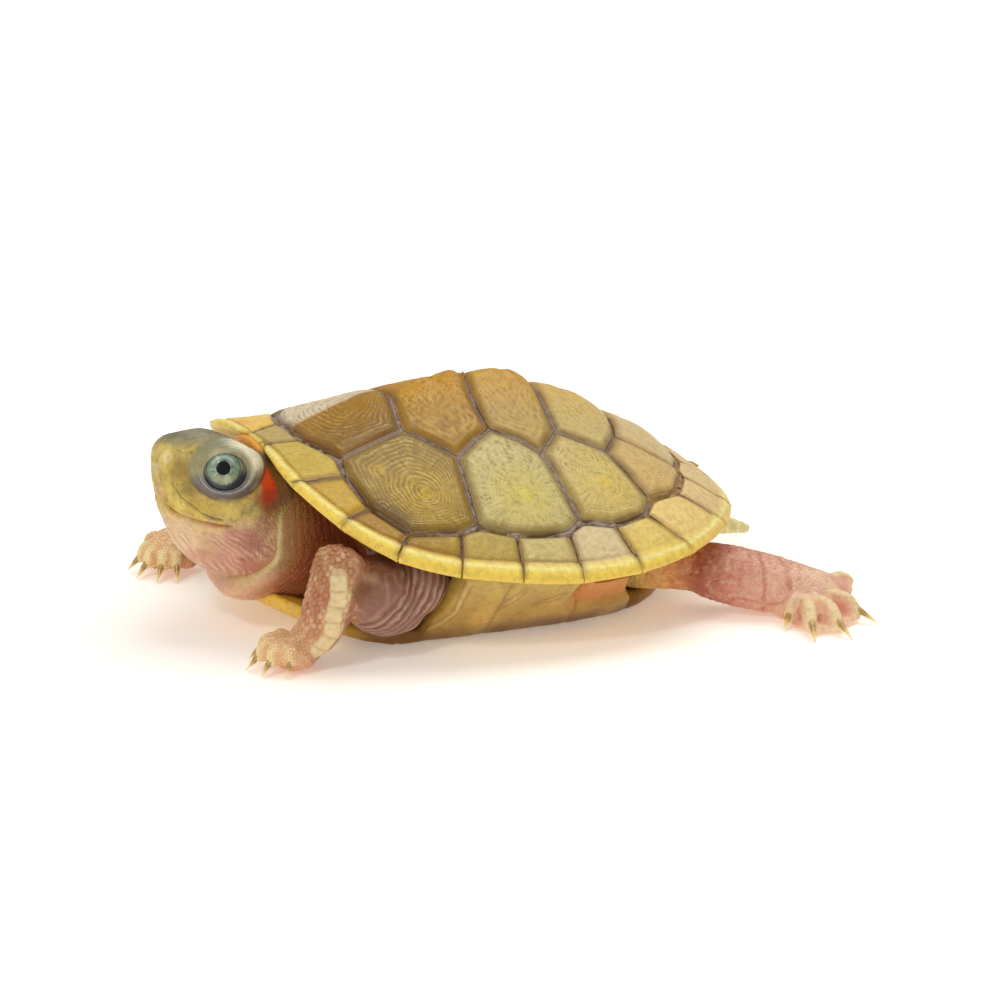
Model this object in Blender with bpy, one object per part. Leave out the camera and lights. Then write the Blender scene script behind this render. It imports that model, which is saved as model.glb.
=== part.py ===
"""Red-eared slider hatchling, a still life-size model.

The animal faces -Y, its left is +X and +Z is up. The origin lies on the floor under the middle of the
shell. Everything is shaped in millimetres and each finished mesh is scaled to metres at the end.
"""

from math import atan2, copysign, cos, exp, hypot, pi, radians, sin

import bmesh
import bpy
from mathutils import Matrix, Vector

MM = 0.001

# Driving dimensions, in millimetres and degrees.
SHELL_LENGTH = 31.0  # straight carapace length
SHELL_HALF_WIDTH = 14.64
SHELL_LIFT = 7.2  # rim plane above the floor, under the middle of the shell
SHELL_PITCH = radians(8.26)  # nose up
DOME_HEIGHT = 6.18
DOME_POWER = 1.514
KEEL_HEIGHT = 1.12
KEEL_SPREAD = 0.12
KEEL_KNOB = 0.28  # extra rise at the rear of each vertebral scute
RIM_WAVES = (0.183, 2.029, 0.271)  # rim height: once, twice and three times round
FRONT_SQUARENESS = 0.653
SIDE_SQUARENESS = 0.657
REAR_FLARE = 0.099
NUCHAL_NOTCH = 1.09  # how far the rim is set back over the neck
NUCHAL_NOTCH_WIDTH = 0.204  # radians to either side
FRONT_SAG = 3.1  # hollows the dome just behind the front rim

SEAM_GAP = 0.14
SCUTE_THICKNESS = 0.85
SCUTE_EDGE_DROP = 0.09
RIM_THICKNESS = 0.55
BODY_CLEARANCE = 0.12  # between the trunk's cutter and what grows from it
JOINT_GAP = 0.06  # between two lengths of one limb

# Where scutes meet, on the left side, as fractions of the half-shell: (sideways, rearward).
# n nuchal, v vertebral, c costal, m marginal; the digits number the scutes from the front.
JUNCTION = {
    "n_v1_m1": (0.062, -0.837),
    "v1_c1_m1": (0.310, -0.681),
    "m1_m2": (0.431, -0.678),
    "m2_m3": (0.642, -0.581),
    "m3_m4": (0.798, -0.409),
    "m4_m5": (0.820, -0.198),
    "c1_c2_m5": (0.796, -0.138),
    "m5_m6": (0.832, -0.035),
    "m6_m7": (0.816, 0.109),
    "c2_c3_m7": (0.759, 0.174),
    "m7_m8": (0.757, 0.312),
    "m8_m9": (0.668, 0.464),
    "c3_c4_m9": (0.579, 0.506),
    "m9_m10": (0.470, 0.655),
    "m10_m11": (0.290, 0.742),
    "v5_c4_m11": (0.235, 0.735),
    "m11_m12": (0.105, 0.815),
    "v1_v2_c1": (0.256, -0.404),
    "v2_c1_c2": (0.482, -0.168),
    "v2_v3_c2": (0.336, -0.031),
    "v3_c2_c3": (0.456, 0.111),
    "v3_v4_c3": (0.309, 0.210),
    "v4_c3_c4": (0.351, 0.404),
    "v4_v5_c4": (0.181, 0.498),
    "keel_n": (0.0, -0.842),
    "keel_1": (0.0, -0.423),
    "keel_2": (0.0, -0.085),
    "keel_3": (0.0, 0.224),
    "keel_4": (0.0, 0.571),
    "keel_5": (0.0, 0.845),
}
VERTEBRALS = (
    ("keel_n", "n_v1_m1", "v1_c1_m1", "v1_v2_c1", "keel_1"),
    ("keel_1", "v1_v2_c1", "v2_c1_c2", "v2_v3_c2", "keel_2"),
    ("keel_2", "v2_v3_c2", "v3_c2_c3", "v3_v4_c3", "keel_3"),
    ("keel_3", "v3_v4_c3", "v4_c3_c4", "v4_v5_c4", "keel_4"),
    ("keel_4", "v4_v5_c4", "v5_c4_m11", "m11_m12", "keel_5"),
)
COSTALS = (
    ("v1_c1_m1", "m1_m2", "m2_m3", "m3_m4", "m4_m5", "c1_c2_m5", "v2_c1_c2", "v1_v2_c1"),
    ("c1_c2_m5", "m5_m6", "m6_m7", "c2_c3_m7", "v3_c2_c3", "v2_v3_c2", "v2_c1_c2"),
    ("c2_c3_m7", "m7_m8", "m8_m9", "c3_c4_m9", "v4_c3_c4", "v3_v4_c3", "v3_c2_c3"),
    ("c3_c4_m9", "m9_m10", "m10_m11", "v5_c4_m11", "v4_v5_c4", "v4_c3_c4"),
)
# Each marginal's inner edge, and the rim angle in degrees where its rear seam ends.
NUCHAL_RIM_ANGLE = 1.5
MARGINALS = (
    (("n_v1_m1", "v1_c1_m1", "m1_m2"), 23.8),
    (("m1_m2", "m2_m3"), 44.2),
    (("m2_m3", "m3_m4"), 62.0),
    (("m3_m4", "m4_m5"), 77.6),
    (("m4_m5", "c1_c2_m5", "m5_m6"), 87.8),
    (("m5_m6", "m6_m7"), 97.4),
    (("m6_m7", "c2_c3_m7", "m7_m8"), 112.5),
    (("m7_m8", "m8_m9"), 129.1),
    (("m8_m9", "c3_c4_m9", "m9_m10"), 147.5),
    (("m9_m10", "m10_m11"), 159.4),
    (("m10_m11", "v5_c4_m11", "m11_m12"), 173.7),
    (("m11_m12", "keel_5"), 180.0),
)

# The plastron, by distance along the body: half-width and height of its underside.
PLASTRON_WIDTH = (
    (-16.7, 1.3), (-16.1, 3.0), (-14.4, 5.8), (-11.8, 7.7), (-8.0, 8.6), (0.0, 8.7),
    (5.5, 8.3), (8.6, 7.1), (10.9, 5.4), (12.3, 3.5), (12.9, 1.3),
)
PLASTRON_RISE = (
    (-16.7, 2.75), (-14.4, 1.95), (-11.8, 1.0), (-9.6, 0.28), (-8.2, 0.0), (8.4, 0.0),
    (10.2, 0.3), (12.9, 1.1),
)
PLASTRON_THICKNESS = 1.0
BRIDGE_SPAN = (-6.6, 7.6)  # along the body, where the plastron climbs to the marginals
BRIDGE_FADE = 1.7
BRIDGE_REACH = 0.90  # fraction of the way to the rim
BRIDGE_CLEARANCE = 0.25

TRUNK_REACH = 0.80
TRUNK_DEPTH = 1.25  # under the dome
TRUNK_FLOOR = 1.32
TRUNK_BASE = (6.9, 9.0)  # half-width and half-length where it sits on the plastron

# The head along its length: place, half-width, top, underside.
HEAD_SECTIONS = (
    (-20.25, 0.8, 11.15, 9.1),
    (-20.1, 1.4, 11.75, 8.0),
    (-19.7, 2.05, 12.1, 6.6),
    (-19.0, 2.7, 12.35, 5.2),
    (-18.0, 3.3, 12.4, 4.15),
    (-17.0, 3.8, 12.35, 3.5),
    (-16.0, 4.25, 12.0, 3.15),
    (-15.0, 4.5, 11.4, 3.0),
    (-13.4, 4.5, 10.6, 2.95),
)
HEAD_WAIST = 0.60  # height of the widest line, from the underside
HEAD_SQUARENESS = 2.35
HEAD_MESH = (10, 16)  # steps along it, points round it
HEAD_ROLL = radians(10)  # left side up
HEAD_ROLL_HEIGHT = 9.0
EYE_CENTRE = Vector((2.95, -16.95, 10.15))
EYE_RADIUS = 1.9
EYE_AXIS = Vector((0.93, -0.30, 0.16)).normalized()
EYE_CLEARANCE = 0.06
EYE_MESH = (7, 11)  # rings and sides, the same for ball and socket
LID_RADII = (2.4, 2.0, 1.0)  # along the head, upward, outward
LID_CENTRE = Vector((3.45, -16.95, 10.15))
LID_MESH = (8, 12)

# The neck: place, half-width, top, underside; its front edge is the collar fold behind the head.
NECK_SECTIONS = (
    (-16.0, 4.7, 11.5, 2.3),
    (-14.6, 4.95, 11.0, 2.1),
    (-13.4, 5.2, 10.7, 1.95),
    (-12.0, 5.4, 10.4, 1.9),
    (-10.2, 5.4, 10.2, 1.9),
    (-8.0, 5.0, 9.4, 2.0),
)
NECK_WAIST = 0.5
NECK_MESH = (6, 16)
COLLAR_POINT = Vector((0.0, -14.5, 7.5))
COLLAR_NORMAL = Vector((0.0, 1.0, -0.05)).normalized()

TAIL_SPINE = ((0, 9.0, 3.4, 2.0), (0, 13.0, 3.2, 1.45), (0, 16.4, 2.7, 0.85), (0, 19.3, 1.9, 0.3))
TAIL_STEPS = 5
TAIL_SIDES = 10

# The head is rolled about a line along the body.
HEAD_TURN = (
    Matrix.Translation((0, 0, HEAD_ROLL_HEIGHT))
    @ Matrix.Rotation(-HEAD_ROLL, 4, "Y")
    @ Matrix.Translation((0, 0, -HEAD_ROLL_HEIGHT))
)

# Limbs: rows of (x, y, z, radius) down the upper leg, the lower leg and the wrist or ankle, the middle
# of the palm and its radii, the claw tips, and how far the web fills the toes' spread.
LIMBS = {
    "front_left": {
        "upper": (
            (5.2, -6.6, 3.9, 2.1), (8.6, -8.4, 3.5, 2.5), (10.5, -10.6, 4.5, 2.2), (10.9, -12.5, 5.5, 1.2),
        ),
        "lower": (
            (11.0, -12.3, 7.5, 0.6), (11.0, -12.5, 6.8, 1.5), (10.9, -13.1, 4.4, 1.6),
            (10.6, -13.8, 2.5, 1.35), (10.4, -14.3, 1.8, 1.2),
        ),
        "ankle": ((10.6, -13.8, 2.5, 1.3), (10.1, -14.8, 1.2, 1.15)),
        "palm": (9.9, -15.3, 0.72),
        "palm_radii": (1.9, 1.55, 0.85),
        "tips": (
            (6.9, -15.7, 0.12), (7.7, -17.3, 0.10), (9.5, -18.1, 0.08), (11.1, -17.7, 0.08),
            (12.0, -16.4, 0.10),
        ),
        "knuckle": 1.25,
        "toe_radius": 0.62,
        "web": 0.40,
    },
    "front_right": {
        "upper": (
            (-5.2, -6.6, 3.9, 2.1), (-8.6, -8.4, 3.5, 2.5), (-10.6, -10.6, 4.4, 2.2),
            (-11.1, -12.5, 5.2, 1.2),
        ),
        "lower": (
            (-11.2, -12.3, 7.2, 0.6), (-11.2, -12.5, 6.5, 1.5), (-11.2, -13.2, 4.3, 1.6),
            (-11.0, -14.0, 2.5, 1.35), (-10.9, -14.5, 1.8, 1.2),
        ),
        "ankle": ((-11.0, -14.0, 2.5, 1.3), (-10.8, -15.0, 1.2, 1.15)),
        "palm": (-10.9, -15.5, 0.72),
        "palm_radii": (1.9, 1.55, 0.85),
        "tips": (
            (-8.4, -16.2, 0.10), (-8.9, -17.4, 0.10), (-10.2, -18.3, 0.08), (-12.0, -18.3, 0.10),
            (-13.9, -17.0, 0.60),
        ),
        "knuckle": 1.15,
        "toe_radius": 0.60,
        "web": 0.45,
    },
    "hind_left": {
        "upper": ((3.6, 6.2, 3.2, 2.2), (6.4, 9.2, 3.0, 1.9), (8.5, 11.7, 2.75, 1.55)),
        "lower": (
            (8.1, 11.3, 2.8, 1.4), (9.4, 12.9, 2.5, 1.8), (10.9, 15.2, 2.0, 1.85), (11.4, 16.0, 1.9, 1.75),
        ),
        "ankle": ((10.9, 15.2, 2.0, 1.75), (12.0, 17.0, 1.65, 1.65), (12.9, 19.6, 1.2, 1.1)),
        "palm": (12.4, 17.3, 0.95),
        "palm_radii": (2.3, 2.5, 1.2),
        "tips": (
            (15.0, 14.9, 0.12), (17.9, 15.6, 0.08), (18.3, 17.9, 0.08), (15.9, 20.8, 0.08),
            (11.6, 22.2, 1.15),
        ),
        "knuckle": 1.05,
        "toe_radius": 0.66,
        "web": 0.84,
    },
    "hind_right": {
        "upper": ((-3.6, 6.2, 3.2, 2.2), (-7.0, 8.2, 3.0, 1.9), (-9.7, 9.9, 2.75, 1.55)),
        "lower": (
            (-9.3, 9.6, 2.8, 1.4), (-10.9, 10.8, 2.5, 1.8), (-12.6, 12.4, 2.0, 1.85),
            (-13.3, 13.1, 1.9, 1.75),
        ),
        "ankle": ((-12.6, 12.4, 2.0, 1.75), (-13.8, 13.9, 1.65, 1.65), (-15.1, 16.0, 1.2, 1.1)),
        "palm": (-14.1, 14.1, 0.95),
        "palm_radii": (2.3, 2.5, 1.2),
        "tips": (
            (-16.0, 11.4, 0.12), (-18.9, 12.2, 0.08), (-19.3, 14.6, 0.08), (-17.3, 17.6, 0.08),
            (-13.6, 18.9, 0.12),
        ),
        "knuckle": 1.05,
        "toe_radius": 0.66,
        "web": 0.84,
    },
}
LIMB_STEPS = 5
LIMB_SIDES = 9
TOE_STEPS = 4
TOE_SIDES = 5
CLAW_SHARE = 0.26  # of a toe's length
CLAW_RADIUS = 0.26
CLAW_TIP_RADIUS = 0.05
WEB_SCALLOP = 0.93  # how far the web reaches between two toes, against beside them

# Finishes: colour, roughness, metallic.
FINISHES = {
    "vertebral_horn": ((0.52, 0.36, 0.12), 0.42, 0.0),
    "costal_horn": ((0.48, 0.38, 0.13), 0.42, 0.0),
    "marginal_horn": ((0.78, 0.62, 0.16), 0.38, 0.0),
    "plastron_horn": ((0.90, 0.68, 0.22), 0.35, 0.0),
    "body_skin": ((0.80, 0.50, 0.38), 0.55, 0.0),
    "head_skin": ((0.62, 0.56, 0.34), 0.50, 0.0),
    "eye": ((0.35, 0.50, 0.52), 0.08, 0.0),
    "leg_skin": ((0.86, 0.62, 0.50), 0.55, 0.0),
}


# Scene and mesh helpers


def clear_scene():
    for obj in list(bpy.data.objects):
        bpy.data.objects.remove(obj, do_unlink=True)


def collection_named(name):
    made = bpy.data.collections.new(name)
    bpy.context.scene.collection.children.link(made)
    return made


def finish_named(name):
    """One Principled material for each finish, made on first use."""
    made = bpy.data.materials.get(name)
    if made:
        return made
    colour, roughness, metallic = FINISHES[name]
    made = bpy.data.materials.new(name)
    made.use_nodes = True
    shader = made.node_tree.nodes["Principled BSDF"]
    shader.inputs["Base Color"].default_value = (*colour, 1.0)
    shader.inputs["Roughness"].default_value = roughness
    shader.inputs["Metallic"].default_value = metallic
    made.diffuse_color = (*colour, 1.0)
    return made


def object_of(name, bm, collection):
    """An object in millimetres, with its normals outward. Triangles make a body and its cutter alike."""
    bmesh.ops.remove_doubles(bm, verts=bm.verts, dist=1e-5)
    bmesh.ops.triangulate(bm, faces=bm.faces, quad_method="FIXED")
    bmesh.ops.recalc_face_normals(bm, faces=bm.faces)
    mesh = bpy.data.meshes.new(name)
    bm.to_mesh(mesh)
    bm.free()
    obj = bpy.data.objects.new(name, mesh)
    collection.objects.link(obj)
    return obj


def combine(obj, others, operation):
    """Boolean of obj with each of the others, applied."""
    for other in others:
        modifier = obj.modifiers.new(operation.lower(), "BOOLEAN")
        modifier.operation = operation
        modifier.solver = "EXACT"
        modifier.object = other
    bpy.context.view_layer.update()
    graph = bpy.context.evaluated_depsgraph_get()
    mesh = bpy.data.meshes.new_from_object(obj.evaluated_get(graph))
    obj.modifiers.clear()
    obj.data = mesh
    return obj


def trim(obj, point, normal):
    """Removes what lies on the normal's side of a plane and closes the cut."""
    bm = bmesh.new()
    bm.from_mesh(obj.data)
    cut = bmesh.ops.bisect_plane(
        bm, geom=[*bm.verts, *bm.edges, *bm.faces], dist=1e-5,
        plane_co=point, plane_no=normal, clear_outer=True,
    )
    edges = [item for item in cut["geom_cut"] if isinstance(item, bmesh.types.BMEdge)]
    bmesh.ops.holes_fill(bm, edges=edges)
    bm.to_mesh(obj.data)
    bm.free()


def keep_largest(obj):
    """Drops the crumbs that a cut can leave."""
    bm = bmesh.new()
    bm.from_mesh(obj.data)
    bmesh.ops.remove_doubles(bm, verts=bm.verts, dist=1e-4)
    bm.verts.ensure_lookup_table()
    left = set(bm.verts)
    groups = []
    while left:
        stack = [left.pop()]
        group = []
        while stack:
            vert = stack.pop()
            group.append(vert)
            for edge in vert.link_edges:
                other = edge.other_vert(vert)
                if other in left:
                    left.discard(other)
                    stack.append(other)
        groups.append(group)
    groups.sort(key=len)
    for group in groups[:-1]:
        bmesh.ops.delete(bm, geom=group, context="VERTS")
    bm.to_mesh(obj.data)
    bm.free()


def complete(obj, finish):
    """To metres, smooth where the surface is smooth, in its own finish."""
    obj.data.transform(Matrix.Scale(MM, 4))
    obj.data.materials.clear()
    obj.data.materials.append(finish_named(finish))
    obj.data.shade_smooth()
    obj.data.set_sharp_from_angle(angle=radians(40))


def skin_rings(bm, rings, close_ends=True):
    """Faces between rings of equal count, with a fan of faces over each end."""
    loops = [[bm.verts.new(point) for point in ring] for ring in rings]
    count = len(loops[0])
    for lower, upper in zip(loops, loops[1:]):
        for i in range(count):
            j = (i + 1) % count
            bm.faces.new((lower[i], lower[j], upper[j], upper[i]))
    if close_ends:
        for loop in (loops[0], loops[-1]):
            middle = bm.verts.new(sum((vert.co for vert in loop), Vector()) / count)
            for i in range(count):
                bm.faces.new((loop[i], loop[(i + 1) % count], middle))
    return loops


# Curves and sections


def along(table, place):
    """Smooth value between the rows of a table whose first column is the place."""
    rows = [tuple(map(float, row)) for row in table]
    if place <= rows[0][0]:
        return rows[0][1:]
    if place >= rows[-1][0]:
        return rows[-1][1:]
    i = max(k for k, row in enumerate(rows) if row[0] <= place)
    left, right = rows[i], rows[i + 1]
    share = (place - left[0]) / (right[0] - left[0])
    values = []
    for k in range(1, len(left)):
        slope = (right[k] - left[k]) / (right[0] - left[0])
        before = (left[k] - rows[i - 1][k]) / (left[0] - rows[i - 1][0]) if i else slope
        after = (rows[i + 2][k] - right[k]) / (rows[i + 2][0] - right[0]) if i + 2 < len(rows) else slope
        start = 0.0 if before * slope <= 0 else 2 * before * slope / (before + slope)
        stop = 0.0 if after * slope <= 0 else 2 * after * slope / (after + slope)
        span = right[0] - left[0]
        s2, s3 = share * share, share * share * share
        values.append(
            (2 * s3 - 3 * s2 + 1) * left[k] + (s3 - 2 * s2 + share) * span * start
            + (3 * s2 - 2 * s3) * right[k] + (s3 - s2) * span * stop
        )
    return tuple(values)


def spine_at(points, share):
    """Point and radius on a Catmull-Rom curve through (x, y, z, r) rows."""
    rows = [Vector(row) for row in points]
    place = min(max(share, 0.0), 1.0) * (len(rows) - 1)
    i = min(int(place), len(rows) - 2)
    t = place - i
    p1, p2 = rows[i], rows[i + 1]
    p0 = rows[i - 1] if i else 2 * p1 - p2
    p3 = rows[i + 2] if i + 2 < len(rows) else 2 * p2 - p1
    value = 0.5 * (
        2 * p1 + (p2 - p0) * t + (2 * p0 - 5 * p1 + 4 * p2 - p3) * t * t
        + (3 * p1 - p0 - 3 * p2 + p3) * t * t * t
    )
    return value.to_3d(), value[3]


def tube(bm, points, steps, sides, grow=0.0):
    """A tapering tube along a spine, closed at both ends and grown if it is a cutter."""
    rings = []
    side = None
    for step in range(steps + 1):
        share = step / steps
        centre, radius = spine_at(points, share)
        radius += grow
        ahead, _ = spine_at(points, share + 0.01)
        behind, _ = spine_at(points, share - 0.01)
        tangent = (ahead - behind).normalized()
        if side is None:
            side = tangent.orthogonal().normalized()
        side = (side - tangent * side.dot(tangent)).normalized()
        other = tangent.cross(side)
        rings.append([
            centre + radius * (cos(2 * pi * k / sides) * side + sin(2 * pi * k / sides) * other)
            for k in range(sides)
        ])
    skin_rings(bm, rings)


def ellipsoid(bm, centre, radii, turn=None, rings=7, sides=12):
    matrix = Matrix.Translation(centre) @ (turn or Matrix()) @ Matrix.Diagonal((*radii, 1.0))
    bmesh.ops.create_uvsphere(bm, u_segments=sides, v_segments=rings, radius=1.0, matrix=matrix)


def body_ring(place, half_width, top, bottom, waist, squareness, count):
    """A cross-section of the head or neck: a superellipse, wider above or below its waist."""
    middle = bottom + waist * (top - bottom)
    ring = []
    for k in range(count):
        angle = 2 * pi * k / count
        c, s = cos(angle), sin(angle)
        reach = (abs(c) ** squareness + abs(s) ** squareness) ** (-1 / squareness)
        height = (top - middle) if s > 0 else (middle - bottom)
        ring.append(Vector((half_width * c * reach, place, middle + height * s * reach)))
    return ring


# The shell


def rim_at(angle):
    """Rim of the carapace in plan; the angle runs from the front towards the left."""
    c, s = cos(angle), sin(angle)
    power = FRONT_SQUARENESS if c > 0 else 1.0
    half = SHELL_LENGTH / 2
    y = -half * copysign(abs(c) ** power, c)
    y += NUCHAL_NOTCH * exp(-((atan2(s, c) / NUCHAL_NOTCH_WIDTH) ** 2))
    x = SHELL_HALF_WIDTH * copysign(abs(s) ** SIDE_SQUARENESS, s) * (1 + REAR_FLARE * y / half)
    return x, y


def shell_point(side, rear, depth=0.0):
    """World point on the carapace from its fractions of the half-shell, sunk by depth."""
    reach = hypot(side, rear)
    angle = atan2(side, -rear)
    x, y = rim_at(angle)
    c = cos(angle)
    waves = RIM_WAVES[0] * c + RIM_WAVES[1] * cos(2 * angle) + RIM_WAVES[2] * cos(3 * angle)
    z = waves * reach ** 2
    z += (DOME_HEIGHT - 0.003) * (1 - min(reach, 1.2) ** DOME_POWER) * (1 - 0.073 * c * reach)
    z += KEEL_HEIGHT * exp(-abs(side) / KEEL_SPREAD) * (1 - reach ** 2)
    z -= FRONT_SAG * max(c, 0.0) ** 2 * reach ** 6 * (1 - reach ** 2)
    return to_world(Vector((x * reach, y * reach, z - depth)))


def to_world(point):
    """From the carapace's own axes to the pitched place on the body."""
    c, s = cos(SHELL_PITCH), sin(SHELL_PITCH)
    return Vector((point.x, point.y * c + point.z * s, SHELL_LIFT - point.y * s + point.z * c))


def inset_outline(points, distance):
    """A flat outline moved inward, each corner to where its two moved edges cross."""
    area = sum(a[0] * b[1] - b[0] * a[1] for a, b in zip(points, points[1:] + points[:1]))
    turn = 1.0 if area > 0 else -1.0
    moved = []
    count = len(points)
    for i in range(count):
        before, here, after = Vector(points[i - 1]), Vector(points[i]), Vector(points[(i + 1) % count])
        first, second = (here - before).normalized(), (after - here).normalized()
        inward = Vector((-first.y - second.y, first.x + second.x)) * turn
        stretch = 1 + first.dot(second)
        moved.append(here + inward * distance / stretch)
    return moved


def split_outline(points, longest):
    """The outline with long edges divided."""
    result = []
    for a, b in zip(points, points[1:] + points[:1]):
        pieces = max(1, round((b - a).length / longest))
        result += [a.lerp(b, k / pieces) for k in range(pieces)]
    return result


def plate(name, corners, collection, keel=False):
    """A scute of the dome: crowned rings above, a plain fan underneath, sides between."""
    scale = SHELL_LENGTH / 2
    flat = [Vector((side * scale, rear * scale)) for side, rear in corners]
    border = split_outline(inset_outline(flat, SEAM_GAP / 2), 1.55)
    middle = sum(border, Vector((0, 0))) / len(border)
    ends = [point.y for point in border]
    bm = bmesh.new()

    def place(point, depth, crown=0.0):
        side, rear = point.x / scale, point.y / scale
        lift = 0.0
        if keel:
            share = (point.y - min(ends)) / (max(ends) - min(ends))
            lift = KEEL_KNOB * exp(-((side / 0.09) ** 2)) * sin(pi * min(share * 0.62, 1)) ** 3
            lift *= min(1.0, (1 - share) / 0.12)
        return shell_point(side, rear, depth - crown - lift)

    rings = [[bm.verts.new(place(point, SCUTE_THICKNESS)) for point in border]]
    for share, crown in ((1.0, -SCUTE_EDGE_DROP), (0.84, 0.02), (0.45, 0.05)):
        rings.append([bm.verts.new(place(middle.lerp(point, share), 0.0, crown)) for point in border])
    for lower, upper in zip(rings, rings[1:]):
        for i in range(len(lower)):
            j = (i + 1) % len(lower)
            bm.faces.new((lower[i], lower[j], upper[j], upper[i]))
    for ring, depth, crown in ((rings[0], SCUTE_THICKNESS, 0.0), (rings[-1], 0.0, 0.06)):
        hub = bm.verts.new(place(middle, depth, crown))
        for i in range(len(ring)):
            bm.faces.new((ring[i], ring[(i + 1) % len(ring)], hub))
    return object_of(name, bm, collection)


def edge_point(points, share):
    """Point on a polyline of fractions, by share of its length."""
    lengths = [hypot(b[0] - a[0], b[1] - a[1]) for a, b in zip(points, points[1:])]
    target = share * sum(lengths)
    for a, b, length in zip(points, points[1:], lengths):
        if target <= length + 1e-9:
            t = target / length
            return Vector((a[0] + (b[0] - a[0]) * t, a[1] + (b[1] - a[1]) * t))
        target -= length
    return Vector(points[-1])


def rim_scute(name, inner, first_angle, last_angle, collection):
    """A scute of the rim: a wedge in section, from its inner edge to the rim and back underneath."""
    steps = 3
    scale = SHELL_LENGTH / 2
    margin = SEAM_GAP / 2 / scale
    turn = copysign(1.0, last_angle - first_angle)
    length = sum(hypot(b[0] - a[0], b[1] - a[1]) for a, b in zip(inner, inner[1:]))
    rings = []
    for step in range(steps + 1):
        share = step / steps
        near = margin / max(length, 0.05)
        inner_point = edge_point(inner, near + (1 - 2 * near) * share)
        angle = first_angle + (last_angle - first_angle) * share
        x, y = rim_at(angle)
        ahead, behind = rim_at(angle + 0.01), rim_at(angle - 0.01)
        speed = hypot(ahead[0] - behind[0], ahead[1] - behind[1]) / 0.02
        angle += turn * (0.5 - share) * SEAM_GAP / speed
        outer = Vector((sin(angle), -cos(angle)))
        inner_point = inner_point.lerp(outer, margin / (outer - inner_point).length)
        ring = []
        for reach, depth in (
            (0.0, SCUTE_EDGE_DROP), (0.14, 0.0), (0.5, -0.04), (0.86, 0.02), (1.0, 0.12),
            (0.985, RIM_THICKNESS * 0.8), (0.90, RIM_THICKNESS + 0.12), (0.5, 0.95), (0.0, 0.86),
        ):
            point = inner_point.lerp(outer, reach)
            ring.append(shell_point(point.x, point.y, depth))
        rings.append(ring)
    bm = bmesh.new()
    skin_rings(bm, rings)
    return object_of(name, bm, collection)


def mirrored(points):
    return [(-x, y) for x, y in points]


def build_carapace(collection):
    for number, names in enumerate(VERTEBRALS, 1):
        left = [JUNCTION[name] for name in names]
        right = [point for point in reversed(mirrored(left)) if point[0] < 0]
        complete(plate(f"vertebral_{number}", left + right, collection, keel=True), "vertebral_horn")
    for number, names in enumerate(COSTALS, 1):
        corners = [JUNCTION[name] for name in names]
        for side, points in (("left", corners), ("right", mirrored(corners))):
            complete(plate(f"costal_{side}_{number}", points, collection), "costal_horn")
    start = JUNCTION["n_v1_m1"]
    inner = [(-start[0], start[1]), JUNCTION["keel_n"], start]
    angle = radians(NUCHAL_RIM_ANGLE)
    complete(rim_scute("nuchal", inner, -angle, angle, collection), "marginal_horn")
    for number, (names, rear_angle) in enumerate(MARGINALS, 1):
        corners = [JUNCTION[name] for name in names]
        after = radians(rear_angle)
        complete(rim_scute(f"marginal_left_{number}", corners, angle, after, collection), "marginal_horn")
        complete(
            rim_scute(f"marginal_right_{number}", mirrored(corners), -angle, -after, collection),
            "marginal_horn",
        )
        angle = after


def bridge_share(place):
    """0 away from the bridge, 1 along it, with a smooth rise and fall."""
    front, rear = BRIDGE_SPAN
    rise = min(max((place - front) / BRIDGE_FADE, 0.0), 1.0)
    fall = min(max((rear - place) / BRIDGE_FADE, 0.0), 1.0)
    share = min(rise, fall)
    return share * share * (3 - 2 * share)


def bridge_top(place):
    """Under the marginals at this distance along the body."""
    low, high = radians(40), radians(150)
    for _ in range(24):
        middle = (low + high) / 2
        point = shell_point(BRIDGE_REACH * sin(middle), -BRIDGE_REACH * cos(middle), 1.0)
        low, high = (middle, high) if point.y < place else (low, middle)
    return point.x, point.z - BRIDGE_CLEARANCE


def plastron_rings(grow=0.0):
    stations = [-16.7, -16.3, -15.2, -13.6, -11.8, -9.8, -8.2, -6.6, -5.9, -5.2, -3.6, -1.0, 1.6, 4.2]
    stations += [5.9, 6.7, 7.6, 8.6, 9.8, 11.2, 12.4, 12.9]
    rings = []
    for place in stations:
        (half,), (rise,) = along(PLASTRON_WIDTH, place), along(PLASTRON_RISE, place)
        share = bridge_share(place)
        wing_x, wing_z = bridge_top(place)
        top = rise + PLASTRON_THICKNESS
        outer_low = Vector((half + 0.1, rise + 0.45)).lerp(Vector((wing_x + 0.55, wing_z - 0.75)), share)
        outer_high = Vector((half, rise + 0.85)).lerp(Vector((wing_x + 0.35, wing_z)), share)
        knee = Vector((half - 0.35, top)).lerp(Vector((wing_x - 1.0, wing_z - 0.1)), share)
        half_ring = [
            Vector((0.0, rise - grow)), Vector((half * 0.62, rise - grow)), Vector((half * 0.93, rise - grow)),
            Vector((half + grow, rise + 0.16)), outer_low + Vector((grow, -grow)),
            outer_high + Vector((grow, grow)), knee + Vector((0, grow)),
            Vector((half - 0.9, top + grow)), Vector((0.0, top + grow)),
        ]
        ring = [Vector((p.x, place, p.y)) for p in half_ring]
        ring += [Vector((-p.x, place, p.y)) for p in reversed(half_ring[1:-1])]
        rings.append(ring)
    if grow:
        for ring, shift in ((rings[0], -grow), (rings[-1], grow)):
            for point in ring:
                point.y += shift
    return rings


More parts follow.
